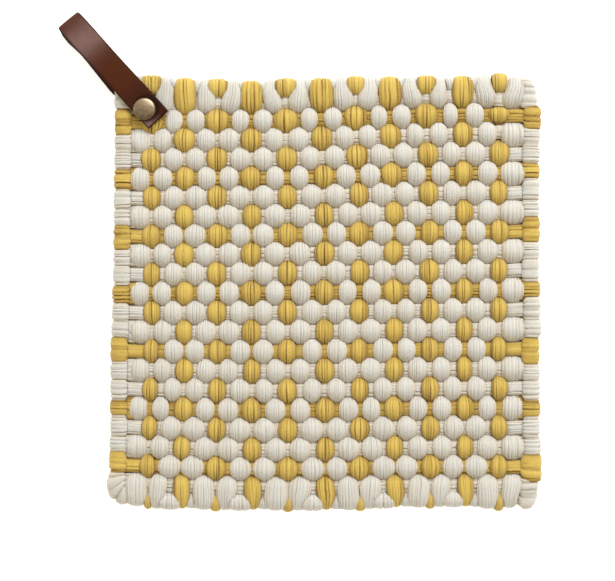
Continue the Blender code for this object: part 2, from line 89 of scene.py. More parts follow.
# The pad's outline, edge by edge: a place along the edge and how far the edge reaches there.
LEFT_EDGE = (
    # y, x reached
    (-93.0, -104.6),
    (-73.0, -104.0),
    (-28.0, -103.5),
    (0.0, -102.6),
    (36.0, -102.1),
    (82.0, -101.6),
)
RIGHT_EDGE = (
    # y, x reached
    (-96.0, 98.6),
    (-82.0, 100.7),
    (-65.0, 99.6),
    (-22.0, 99.2),
    (-15.0, 100.6),
    (0.0, 99.3),
    (72.0, 99.2),
    (84.0, 100.1),
    (94.0, 98.4),
)
TOP_EDGE = (
    # x, y reached
    (-85.0, 102.2),
    (-68.0, 101.2),
    (-38.0, 99.9),
    (-20.0, 100.8),
    (12.0, 101.8),
    (44.0, 102.1),
    (63.0, 102.3),
    (80.0, 103.2),
    (95.0, 101.0),
)
BOTTOM_EDGE = (
    # x, y reached
    (-101.0, -99.0),
    (-80.0, -101.6),
    (-38.0, -102.3),
    (6.0, -102.3),
    (26.0, -101.2),
    (60.0, -100.5),
    (82.0, -101.9),
    (97.0, -99.2),
)

# A warp bundle's turn over the top or bottom edge, from its hidden end to the last row's crest.
LONG_TURN = (
    # inset from the edge, height, share of full width, outer half-thickness, inner half-thickness
    (9.8, 5.4, 0.34, 1.2, 1.2),
    (7.8, 4.4, 0.42, 1.5, 1.3),
    (5.4, 3.2, 0.54, 1.8, 1.4),
    (3.3, 3.2, 0.64, 1.9, 1.5),
    (2.0, 4.5, 0.72, 1.9, 1.6),
    (1.7, 6.2, 0.80, 1.9, 1.6),
    (2.3, 8.0, 0.90, 2.1, 1.7),
    (4.2, 9.2, 0.97, 2.4, 1.8),
    (6.8, 9.5, 1.00, 2.5, 1.8),
)
SLIM_TURN = (
    # inset from the edge, height, share of full width, outer half-thickness, inner half-thickness
    (9.8, 5.4, 0.34, 1.2, 1.2),
    (7.8, 4.4, 0.42, 1.5, 1.3),
    (5.4, 3.2, 0.54, 1.8, 1.4),
    (3.3, 3.2, 0.62, 1.9, 1.5),
    (2.0, 4.5, 0.66, 1.9, 1.6),
    (1.7, 6.2, 0.68, 1.9, 1.6),
    (2.3, 7.6, 0.73, 2.0, 1.7),
    (4.2, 8.6, 0.80, 2.2, 1.8),
    (6.8, 9.2, 0.91, 2.4, 1.8),
)
TAPER_TURN = (
    # inset from the edge, height, share of full width, outer half-thickness, inner half-thickness
    (9.0, 5.8, 0.28, 1.1, 1.1),
    (7.0, 5.0, 0.30, 1.3, 1.2),
    (5.0, 4.2, 0.33, 1.4, 1.3),
    (3.2, 4.4, 0.36, 1.5, 1.4),
    (2.1, 6.2, 0.42, 1.6, 1.5),
    (2.3, 7.7, 0.54, 1.8, 1.6),
    (4.0, 8.7, 0.74, 2.2, 1.8),
    (6.2, 9.4, 0.91, 2.4, 1.8),
    (8.4, 9.5, 1.00, 2.5, 1.8),
)
WEDGE_TURN = (
    # inset from the edge, height, share of full width, outer half-thickness, inner half-thickness
    (8.2, 6.2, 0.50, 1.1, 1.1),
    (7.9, 4.9, 0.68, 1.5, 1.2),
    (7.2, 3.4, 0.84, 2.0, 1.4),
    (5.8, 2.5, 0.95, 2.3, 1.5),
    (4.1, 2.2, 1.00, 2.4, 1.6),
    (2.5, 3.2, 1.00, 2.2, 1.7),
    (1.5, 4.8, 0.98, 2.0, 1.7),
    (1.5, 6.6, 0.94, 1.9, 1.6),
    (2.5, 8.4, 0.92, 2.1, 1.7),
    (4.6, 9.3, 0.97, 2.4, 1.8),
    (7.0, 9.5, 1.00, 2.5, 1.8),
)
BULGE_TURN = (
    # inset from the edge, height, share of full width, outer half-thickness, inner half-thickness
    (7.0, 6.2, 0.60, 1.1, 1.1),
    (6.7, 4.8, 0.84, 1.5, 1.2),
    (5.8, 3.3, 1.00, 2.0, 1.4),
    (4.4, 2.5, 1.07, 2.4, 1.5),
    (2.9, 2.8, 1.10, 2.4, 1.6),
    (1.9, 4.0, 1.06, 2.1, 1.7),
    (1.5, 5.6, 1.00, 1.9, 1.7),
    (1.7, 7.2, 0.94, 2.0, 1.6),
    (2.8, 8.6, 0.92, 2.1, 1.7),
    (4.8, 9.3, 0.97, 2.4, 1.8),
    (7.0, 9.5, 1.00, 2.5, 1.8),
)
SLIVER_TURN = (
    # inset from the edge, height, share of full width, outer half-thickness, inner half-thickness
    (8.6, 5.4, 0.30, 1.1, 1.1),
    (6.8, 4.0, 0.36, 1.4, 1.3),
    (4.8, 3.2, 0.42, 1.6, 1.4),
    (2.8, 3.0, 0.46, 1.7, 1.5),
    (1.2, 4.4, 0.50, 1.7, 1.5),
    (0.9, 6.4, 0.60, 1.8, 1.6),
    (2.2, 8.3, 0.78, 2.0, 1.7),
    (4.6, 9.2, 0.94, 2.3, 1.8),
    (7.2, 9.5, 1.00, 2.5, 1.8),
)
SHORT_TURN = (
    # inset from the edge, height, share of full width, outer half-thickness, inner half-thickness
    (9.0, 5.6, 0.44, 1.1, 1.1),
    (7.0, 4.5, 0.50, 1.3, 1.2),
    (5.0, 3.6, 0.56, 1.5, 1.3),
    (3.0, 3.9, 0.70, 1.7, 1.5),
    (2.1, 5.8, 0.80, 1.8, 1.6),
    (2.8, 7.9, 0.88, 2.0, 1.7),
    (5.2, 9.2, 0.94, 2.3, 1.8),
    (7.4, 9.5, 1.00, 2.5, 1.8),
)

# How far some columns lean sideways where they turn over the top and the bottom edge.
TOP_SHIFTS = {2: 1.5, 8: 2.2, 12: -1.8, 14: 0.8, 18: -0.9, 20: 0.9, 24: -2.1, 30: -1.7, 32: 1.6}
BOTTOM_SHIFTS = {
    **{column: -0.9 for column in (2, 8, 14, 20, 26)},
    **{column: 0.6 for column in (4, 10, 16, 22, 28)},
    32: -1.3,
}

# A weft bundle's turn round the side, from its end inside the pad to the first column.
SIDE_TURN = (
    # inset from the outline, height, share of the roll's full height, outer and inner half-thickness
    (13.0, 6.4, 0.84, 1.2, 1.2),
    (10.8, 6.1, 1.02, 1.4, 1.3),
    (8.7, 4.4, 1.04, 1.5, 1.4),
    (6.6, 2.8, 1.00, 1.6, 1.5),
    (4.0, 2.4, 1.00, 1.6, 1.5),
    (2.2, 3.6, 1.00, 1.6, 1.5),
    (1.6, 6.0, 1.00, 1.6, 1.5),
    (2.2, 8.4, 1.00, 1.6, 1.5),
    (4.0, 9.6, 1.00, 1.6, 1.5),
    (6.2, 9.7, 1.00, 1.6, 1.5),
    (7.5, 9.3, 0.98, 1.5, 1.5),
    (8.0, 8.7, 0.74, 1.4, 1.6),
    (8.2, 8.0, 0.36, 1.5, 1.7),
    (8.7, 7.6, 0.10, 1.7, 1.8),
    (10.4, 7.5, 0.00, 2.0, 1.9),
    (12.2, 7.4, 0.00, 2.2, 2.1),
)

# Where each weft row's roll over the side lies, and how tall it is.
SIDE_ROLLS = (
    # row, left y, left half-height, right y, right half-height
    (0, 92.9, 5.5, 94.6, 7.0),
    (1, 81.1, 6.5, 83.2, 5.6),
    (2, 71.3, 3.7, 74.4, 3.8),
    (3, 63.3, 4.8, 66.3, 4.9),
    (4, 53.9, 4.9, 58.0, 3.7),
    (5, 44.4, 4.9, 49.2, 5.4),
    (6, 36.0, 4.0, 40.1, 4.1),
    (7, 26.3, 6.0, 30.1, 6.1),
    (8, 16.7, 4.0, 20.1, 4.3),
    (9, 8.3, 5.0, 10.8, 5.6),
    (10, -0.7, 4.2, 1.8, 3.7),
    (11, -9.3, 4.7, -7.3, 5.7),
    (12, -17.2, 3.9, -16.9, 4.4),
    (13, -26.7, 6.0, -27.5, 6.5),
    (14, -36.6, 4.3, -37.5, 3.9),
    (15, -45.7, 5.3, -45.9, 5.1),
    (16, -54.2, 3.6, -54.6, 3.9),
    (17, -62.7, 5.1, -63.5, 5.3),
    (18, -71.1, 3.9, -72.4, 4.2),
    (19, -79.7, 5.2, -82.9, 6.6),
    (20, -88.8, 4.1, -95.0, 7.2),
)

# How the strands of the outermost rows fan out round the pad's corners, or draw in there.
CORNER_FANS = (
    # row, side, degrees, how much longer the middle strand is, how much shorter the last one
    (0, 1, 0.0, 0.0, 0.32),
    (20, -1, 92.0, 0.30, 0.12),
    (20, 1, 0.0, 0.04, 0.34),
)

# The beads that the weaver left short, and the wefts that stand tall beside them.
SHORT_BEADS = (
    # column, row, share of the usual height
    (31, 1, 0.44),
)
TALL_WINDOWS = (
    # row, column, half-height, shift up
    (0, 31, 3.9, -1.7),
    (2, 31, 3.4, 1.3),
)

# How full the beads of the columns are, at the top and at the foot.
COLUMN_FULLNESS = (
    # column, top, foot
    (0, 1.08, 0.93),
    (1, 0.98, 0.84),
    (2, 1.03, 0.97),
    (3, 1.05, 1.03),
    (5, 1.07, 1.03),
    (8, 1.09, 1.05),
    (11, 1.01, 1.00),
    (17, 1.00, 1.00),
    (20, 1.04, 1.03),
    (23, 1.00, 0.97),
    (26, 0.98, 0.97),
    (28, 0.92, 0.90),
    (29, 1.04, 1.00),
    (30, 1.05, 0.99),
    (31, 0.88, 0.82),
    (32, 1.12, 0.92),
)

# How full the beads of each colour are, by row.
ROW_FULLNESS = (
    # row, mustard, natural
    (0, 1.22, 0.96),
    (1, 1.20, 1.00),
    (2, 1.16, 0.95),
    (3, 1.12, 1.00),
    (4, 1.05, 0.98),
    (5, 1.00, 1.06),
    (7, 1.02, 1.05),
    (10, 1.03, 1.00),
    (12, 0.97, 1.02),
    (14, 0.95, 1.03),
    (16, 0.98, 1.00),
    (17, 1.05, 1.17),
    (18, 0.97, 1.16),
    (19, 1.09, 1.21),
    (20, 0.97, 1.08),
)

# The strap's middle line, from the cut end on the face round the fold to the one on the back.
STRAP_ROUTE = (
    # s, z
    (63.7, 11.1),
    (56.0, 11.1),
    (48.0, 11.15),
    (40.0, 11.25),
    (30.0, 10.95),
    (20.0, 10.1),
    (12.0, 9.1),
    (5.0, 8.0),
    (0.6, 6.3),
    (-1.1, 4.2),
    (0.4, 2.0),
    (4.0, 0.9),
    (12.0, 0.8),
    (25.0, 0.8),
    (36.0, 0.85),
    (44.0, 1.7),
    (50.0, 2.55),
    (56.0, 2.6),
    (63.7, 2.6),
)

# How far the strap's back half stands out to the left of its face.
STRAP_DRIFT = (
    # s, to the left
    (-1.0, 0.0),
    (2.0, 0.75),
    (6.0, 1.10),
    (10.0, 0.75),
    (14.0, 0.40),
    (20.0, 0.60),
    (28.0, 1.00),
    (36.0, 1.45),
    (44.0, 1.30),
    (54.0, 0.20),
)


# The cap's rim, from the dome's foot round to the underside.
CAP_RIM = (
    # share of the cap's radius, share of its height down from the top
    (0.972, 0.48),
    (0.995, 0.62),
    (1.0, 0.80),
    (0.99, 0.92),
    (0.96, 1.0),
)

# The rivet's round base, from the post outwards, over its edge and in again underneath.
BASE_PROFILE = (
    # share of the base's radius, height
    (0.93, 1.5),
    (0.98, 1.395),
    (1.0, 1.125),
    (0.98, 0.75),
    (0.92, 0.42),
    (0.82, 0.12),
    (0.74, 0.0),
    (0.62, 0.0),
    (0.56, 0.06),
    (0.50, 0.22),
    (0.30, 0.30),
)


class Yarn(Enum):
    """The two cottons of the weave, by the record's material slots."""

    NATURAL = "cotton_natural"
    MUSTARD = "cotton_mustard"


class Edge(Enum):
    """The pad's four edges."""

    LEFT = "left"
    RIGHT = "right"
    TOP = "top"
    BOTTOM = "bottom"


class WarpEnd(Enum):
    """How a warp column ends at the top or bottom edge."""

    LONG = "long"
    SLIM = "slim"
    TAPER = "taper"
    WEDGE = "wedge"
    SLIVER = "sliver"
    BULGE = "bulge"
    TUCKED = "tucked"


def read_table(table: tuple, places: np.ndarray, column: int = 1) -> np.ndarray:
    """Reads a table between its rows.

    Args:
        table: Rows whose first value is the place.
        places: Where to read it.
        column: Which of the rows' values to read.

    Returns:
        The values, straight between the rows and level outside them.
    """
    rows = np.array(table, float)
    return np.interp(places, rows[:, 0], rows[:, column])


def ramp(values: np.ndarray, start: float, end: float) -> np.ndarray:
    """0 at start, 1 at end, straight between and level outside."""
    return np.clip((np.asarray(values, float) - start) / (end - start), 0.0, 1.0)


def unit(vectors: np.ndarray) -> np.ndarray:
    """The same directions with length 1."""
    return vectors / np.linalg.norm(vectors, axis=-1, keepdims=True)


def curve_rows(table: tuple, count: int) -> np.ndarray:
    """Rows along a Catmull-Rom curve through a table's rows, as close together as the table's own.

    Args:
        table: Rows of numbers.
        count: How many rows to return.

    Returns:
        The rows, from the table's first to its last.
    """
    points = np.array([table[0], *table, table[-1]], float)
    places = np.linspace(0, len(table) - 1, count)
    start = np.minimum(places.astype(int), len(table) - 2)
    step = (places - start)[:, None]
    a, b, c, d = (points[start + k] for k in range(4))
    bend = a - 2.5 * b + 2 * c - 0.5 * d
    turn = 1.5 * (b - c) + 0.5 * (d - a)
    return b + 0.5 * step * (c - a) + step**2 * bend + step**3 * turn


def smooth_rows(table: tuple, count: int, detail: int = 12) -> np.ndarray:
    """Rows evenly spaced along a Catmull-Rom curve through a table's rows.

    Args:
        table: Rows of numbers, whose first two are a place in a plane.
        count: How many rows to return.
        detail: How many points of the curve are measured for each row of the table.

    Returns:
        The rows, evenly spaced by the length in that plane.
    """
    curve = curve_rows(table, detail * len(table))
    lengths = path_lengths(curve[:, :2])
    even = np.linspace(0.0, lengths[-1], count)
    return np.stack([np.interp(even, lengths, column) for column in curve.T], axis=1)


def path_lengths(points: np.ndarray) -> np.ndarray:
    """How far each point of a path lies from its start, along the path."""
    steps = np.linalg.norm(np.diff(points, axis=0), axis=1)
    return np.concatenate([[0.0], np.cumsum(steps)])


def ring_quads(index: np.ndarray) -> np.ndarray:
    """The faces between rings of points.

    Args:
        index: The points' numbers, as rings x points round.

    Returns:
        Four numbers for each face.
    """
    beside = np.roll(index, -1, axis=1)
    return np.stack([index[:-1], beside[:-1], beside[1:], index[1:]], axis=-1).reshape(-1, 4)


def make_piece(
    name: str,
    points: np.ndarray,
    faces: list[list[int]],
    floats: dict[str, np.ndarray],
    vectors: dict[str, np.ndarray],
) -> bpy.types.Object:
    """Makes a smooth piece and puts it in the scene.

    Args:
        name: The piece's name.
        points: Its points, in millimetres.
        faces: The numbers of each face's points.
        floats: Attributes with one number for each point.
        vectors: Attributes with one vector for each point.

    Returns:
        The piece.
    """
    mesh = bpy.data.meshes.new(name)
    mesh.from_pydata((points.reshape(-1, 3) * MM).tolist(), [], faces)
    for kind, member, layers in (("FLOAT", "value", floats), ("FLOAT_VECTOR", "vector", vectors)):
        for key, values in layers.items():
            layer = mesh.attributes.new(key, kind, "POINT")
            layer.data.foreach_set(member, values.astype(np.float32).ravel())
    mesh.shade_smooth()
    item = bpy.data.objects.new(name, mesh)
    bpy.context.scene.collection.objects.link(item)
    return item


def tube_piece(
    name: str, points: np.ndarray, floats: dict[str, np.ndarray], vectors: dict[str, np.ndarray]
) -> bpy.types.Object:
    """Makes a piece that is one tube through rings of points.

    Args:
        name: The piece's name.
        points: The rings, in millimetres, as stations x points round x 3.
        floats: Attributes with one number for each point.
        vectors: Attributes with one vector for each point.

    Returns:
        The piece, with both its ends closed.
    """
    stations, ring = points.shape[:2]
    index = np.arange(stations * ring).reshape(stations, ring)
    faces = [*ring_quads(index).tolist(), index[0][::-1].tolist(), index[-1].tolist()]
    return make_piece(name, points, faces, floats, vectors)


@dataclass(frozen=True)
class Lattice:
    """Where the crossings of the hand-beaten weave lie."""

    columns: int = 33
    rows: int = 21
    column_pitch: float = 5.466
    row_pitch: float = 9.142
    middle_column: int = 16
    middle_row: int = 10
    middle_x: float = -2.46
    middle_y: float = 0.74
    colour_repeat: int = 3
    row_climb: float = 0.059
    row_fan: float = 0.0061
    head_rows: tuple[float, float] = (6, 1)
    foot_rows: tuple[float, float] = (14, 19)
    head_drop_rows: tuple[float, float] = (9, 2)
    foot_drop_rows: tuple[float, float] = (9, 19)

    def drift(self, column: np.ndarray, row: np.ndarray) -> tuple[np.ndarray, np.ndarray]:
        """How far places in the weave stand from the even lattice.

        Args:
            column: Column numbers, whole or between two.
            row: Row numbers, counted from the top edge.

        Returns:
            How far to the right and how much lower each place stands, in millimetres.
        """
        columns = (read_table(DRIFT, column, k) for k in range(1, len(DRIFT[0])))
        at_head, in_middle, at_foot, head_drop, foot_drop = columns
        sideways = in_middle + (at_head - in_middle) * ramp(row, *self.head_rows)
        sideways = sideways + (at_foot - in_middle) * ramp(row, *self.foot_rows)
        lower = head_drop * ramp(row, *self.head_drop_rows)
        return sideways, lower + foot_drop * ramp(row, *self.foot_drop_rows)

    def point(self, column: np.ndarray, row: np.ndarray) -> tuple[np.ndarray, np.ndarray]:
        """The x and y of places in the weave.

        Args:
            column: Column numbers, whole or between two.
            row: Row numbers, counted from the top edge.

        Returns:
            The x and the y of each place, in millimetres.
        """
        across = np.asarray(column, float) - self.middle_column
        down = np.asarray(row, float) - self.middle_row
        sideways, lower = self.drift(column, row)
        x = self.middle_x + self.column_pitch * across + sideways
        y = self.middle_y + self.row_climb * across
        return x, y - (self.row_pitch + self.row_fan * across) * down - lower

    def room(self, column: int) -> float:
        """The width that a column has between its neighbours.

        Args:
            column: The warp column.

        Returns:
            That width as a share of the mean pitch.
        """
        after = min(column + 1, self.columns - 1)
        before = max(column - 1, 0)
        x_after = self.point(after, self.middle_row)[0]
        x_before = self.point(before, self.middle_row)[0]
        return float((x_after - x_before) / (after - before) / self.column_pitch)

    def yarn(self, index: int) -> Yarn:
        """The cotton of a warp column or weft row: every third one is mustard."""
        return Yarn.MUSTARD if index % self.colour_repeat == 1 else Yarn.NATURAL


@dataclass(frozen=True)
class StrapFrame:
    """The hanging loop's own frame: s runs from the fold to the cut ends, t across, to the left."""

    fold_x: float = -123.82
    fold_y: float = 129.05
    heading: float = math.radians(-47.84)
    width: float = 12.5
    thickness: float = 1.6
    length: float = 63.7
    rivet_s: float = 55.78
    rivet_t: float = 1.50

    def place(self, s: np.ndarray, t: np.ndarray) -> tuple[np.ndarray, np.ndarray]:
        """Turns places on the strap into places on the pad.

        Args:
            s: How far each place lies from the fold.
            t: How far it lies across, from the strap's middle line.

        Returns:
            The x and the y of each place.
        """
        ahead_x = math.cos(self.heading)
        ahead_y = math.sin(self.heading)
        return self.fold_x + s * ahead_x + t * ahead_y, self.fold_y + s * ahead_y - t * ahead_x

    def coordinates(self, x: np.ndarray, y: np.ndarray) -> tuple[np.ndarray, np.ndarray]:
        """Turns places on the pad into places on the strap.

        Args:
            x: The x of each place.
            y: The y of each place.

        Returns:
            The s and the t of each place.
        """
        dx = x - self.fold_x
        dy = y - self.fold_y
        ahead_x = math.cos(self.heading)
        ahead_y = math.sin(self.heading)
        return dx * ahead_x + dy * ahead_y, dx * ahead_y - dy * ahead_x


@dataclass(frozen=True)
class Press:
    """How the strap's two riveted ends press the pad's corner thin between them."""

    strap: StrapFrame
    top: float = 10.0
    under: float = 3.8
    margin: float = 3.5
    slope_top: float = 0.3
    slope_under: float = 0.45

    def squeeze(self, points: np.ndarray) -> np.ndarray:
        """Lowers and lifts points into the room between the strap's ends.

        Args:
            points: Points of the free weave, with z from 0 to the full thickness.

        Returns:
            The points with their heights squeezed.
        """
        s, t = self.strap.coordinates(points[..., 0], points[..., 1])
        beside = np.abs(t) - self.strap.width / 2 - self.margin
        beyond = s - self.strap.length - self.margin
        away = np.maximum(np.maximum(beside, beyond), 0.0)
        highest = np.minimum(self.top + self.slope_top * away, THICKNESS)
        lowest = np.maximum(self.under - self.slope_under * away, 0.0)
        moved = points.copy()
        moved[..., 2] = lowest + points[..., 2] / THICKNESS * (highest - lowest)
        return moved


@dataclass
class BundlePath:
    """The stations along one bundle, with one row of every array for each station."""

    centre: np.ndarray
    across: np.ndarray
    half_width: np.ndarray
    upper: np.ndarray
    lower: np.ndarray
    flatness: np.ndarray
    cleft: np.ndarray
    upper_ridge: np.ndarray
    lower_ridge: np.ndarray
    # Painted shade at each station: towards the bead tips and over the weft's windows.
    painted_dip: np.ndarray

    def directions(self) -> tuple[np.ndarray, np.ndarray]:
        """The directions of a bundle's ring at each station. A path that sways shears its bundle.

        Returns:
            The unit directions of the width and of the thickness.
        """
        steps = np.gradient(self.centre, axis=0)
        ahead = unit(steps - np.sum(steps * self.across, axis=1, keepdims=True) * self.across)
        return self.across, np.cross(ahead, self.across)


@dataclass(frozen=True)
class StrandSkin:
    """The lobed surface of a bundle: so many soft strands side by side, with grooves between."""

    strands: int
    groove: float
    deep_groove: float
    uneven: float
    full_width: float
    arc_evening: float = 0.15
    wander: float = 0.07
    wander_waves: tuple[float, float] = (6.1, 15.7)
    faintest: float = 0.25
    strongest: float = 1.75
    deepest: float = 0.9
    centre_power: int = 24
    swell: float = 0.5
    swell_wave: float = 4.3
    least_depth: float = 0.35
    most_depth: float = 1.2
    cleft_width: float = 0.7
    # How the painted shade on each bundle's flanks falls off towards its crown.
    flank_shade_power: float = 1.1
    groove_power: float = 1.7
    shares: tuple[float, ...] = (0.0, 0.14, 0.37, 0.63, 0.86)
    fibre_stretch: float = 0.14
    fibre_spread: float = 500.0

    @property
    def ring(self) -> int:
        """How many points go round a bundle."""
        return self.strands * len(self.shares)

    def turns(self, lengths: np.ndarray, rng: np.random.Generator) -> np.ndarray:
        """Sets out uneven strands that wander a little round the bundle.

        Args:
            lengths: How far each station lies along the bundle.
            rng: The bundle's own random numbers.

        Returns:
            The angle of every point, station by station.
        """
        widths = 1 + self.uneven * rng.uniform(-1, 1, self.strands)
        starts = np.concatenate([[0.0], np.cumsum(widths)]) / widths.sum() * math.tau
        offset = rng.uniform(0, math.tau)
        phases = rng.uniform(0, math.tau, (len(self.wander_waves), self.strands))
        waves = sum(np.sin(lengths[:, None] / wave + phase) for wave, phase in zip(self.wander_waves, phases))
        grooves = starts[:-1] + self.wander * waves
        following = np.concatenate([grooves[:, 1:], grooves[:, :1] + math.tau], axis=1)
        turns = grooves[:, :, None] + (following - grooves)[:, :, None] * np.array(self.shares)
        return turns.reshape(len(lengths), self.ring) + offset

    def depths(self, turns: np.ndarray, lengths: np.ndarray, rng: np.random.Generator) -> np.ndarray:
        """Draws the surface in at the grooves, most at the one in the middle of the face.

        Args:
            turns: The angle of every point.
            lengths: How far each station lies along the bundle.
            rng: The bundle's own random numbers.

        Returns:
            How deep the surface is drawn in at every point.
        """
        at_groove = turns[:, :: len(self.shares)]
        depth = self.groove * rng.uniform(self.faintest, self.strongest, self.strands)
        centred = np.abs(np.sin(at_groove)) ** self.centre_power
        phases = rng.uniform(0, math.tau, self.strands)
        swell = 1 + self.swell * np.sin(lengths[:, None] / self.swell_wave + phases)
        depth = (depth + (self.deep_groove - self.groove) * centred) * swell
        following = np.roll(depth, -1, axis=1)
        shares = np.array(self.shares)
        fall = np.maximum(1 - np.sin(math.pi * shares), 0) ** self.groove_power
        both = np.where(shares < 0.5, depth[:, :, None], following[:, :, None]) * fall
        return both.reshape(turns.shape)

    def skin(self, path: BundlePath, rng: np.random.Generator) -> dict[str, np.ndarray]:
        """Wraps a path in strands.

        Args:
            path: The bundle's stations.
            rng: The bundle's own random numbers.

        Returns:
            The points, station by station, and each point's painted groove shade, painted hollow shade, tone
            and place on the fibres.
        """
        lengths = path_lengths(path.centre)
        turns = self.turns(lengths, rng)
        depths = self.depths(turns, lengths, rng)
        depths *= np.clip(path.half_width / self.full_width, self.least_depth, self.most_depth)[:, None]
        angle = turns + self.arc_evening * np.sin(2 * turns)
        aside, aloft = np.cos(angle), np.sin(angle)
        on_face = aloft > 0
        width = path.half_width[:, None]
        rise = np.where(on_face, path.upper[:, None], path.lower[:, None])
        ridge = np.where(on_face, path.upper_ridge[:, None], path.lower_ridge[:, None])
        sideways = width * aside * (1 - ridge * np.abs(aloft))
        upward = rise * np.sign(aloft) * np.abs(aloft) ** path.flatness[:, None]
        cleft = path.cleft[:, None] * np.exp(-((sideways / self.cleft_width) ** 2)) * on_face
        upward *= 1 - cleft
        normal_side = aside / width
        normal_up = aloft / rise
        size = np.hypot(normal_side, normal_up)
        sideways -= depths * normal_side / size
        upward -= depths * normal_up / size
        side, up = path.directions()
        points = path.centre[:, None, :] + sideways[..., None] * side[:, None, :]
        points += upward[..., None] * up[:, None, :]
        tones = np.repeat(rng.uniform(0, 1, self.strands), len(self.shares))
        along = lengths[:, None] * self.fibre_stretch + rng.uniform(0, self.fibre_spread)
        fibre = [
            self.full_width * np.cos(turns),
            self.full_width * np.sin(turns),
            np.broadcast_to(along, turns.shape),
        ]
        # Painted shade: the hollow mask darkens each bundle's flanks and, through the path's dip, the bead
        # tips and the weft's windows. The groove mask paints shade into the grooves and the cleft.
        flank_shade = (1 - np.abs(aloft)) ** self.flank_shade_power
        return {
            "points": points,
            "groove": np.clip(depths / self.deepest + cleft, 0, 1),
            "hollow": 1 - (1 - flank_shade) * (1 - path.painted_dip[:, None]),
            "tone": np.broadcast_to(tones, turns.shape),
            "fibre": np.stack(fibre, axis=-1) * MM,
        }


@dataclass
class BundleMesh:
    """Joins the bundles of one piece into a mesh."""

    parts: list[dict[str, np.ndarray]] = field(default_factory=list)
    quads: list[np.ndarray] = field(default_factory=list)
    triangles: list[np.ndarray] = field(default_factory=list)
    count: int = 0

    def add(self, skin: dict[str, np.ndarray]) -> None:
        """Adds one bundle with its two closed ends.

        Args:
            skin: What StrandSkin.skin made.
        """
        stations, ring = skin["groove"].shape
        index = self.count + np.arange(stations * ring).reshape(stations, ring)
        self.quads.append(ring_quads(index))
        hubs = self.count + stations * ring + np.arange(2)
        first, last = index[0], index[-1]
        start = np.stack([np.roll(first, -1), first, np.full(ring, hubs[0])], axis=-1)
        end = np.stack([last, np.roll(last, -1), np.full(ring, hubs[1])], axis=-1)
        self.triangles += [start, end]
        closed = {}
        for name, values in skin.items():
            flat = values.reshape(stations * ring, -1)
            ends = np.stack([values[k].reshape(ring, -1).mean(0) for k in (0, -1)])
            closed[name] = np.concatenate([flat, ends])
        self.parts.append(closed)
        self.count += stations * ring + len(hubs)

    def build(self, name: str) -> bpy.types.Object:
        """Makes the piece.

        Args:
            name: The piece's name.

        Returns:
            The piece, with its points' painted groove shade, painted hollow shade, tone and place on the
            fibres.
        """
        joined = {key: np.concatenate([part[key] for part in self.parts]) for key in self.parts[0]}
        faces = np.concatenate(self.quads).tolist() + np.concatenate(self.triangles).tolist()
        floats = {key: joined[key] for key in ("groove", "hollow", "tone")}
        return make_piece(name, joined["points"], faces, floats, {"fibre": joined["fibre"]})


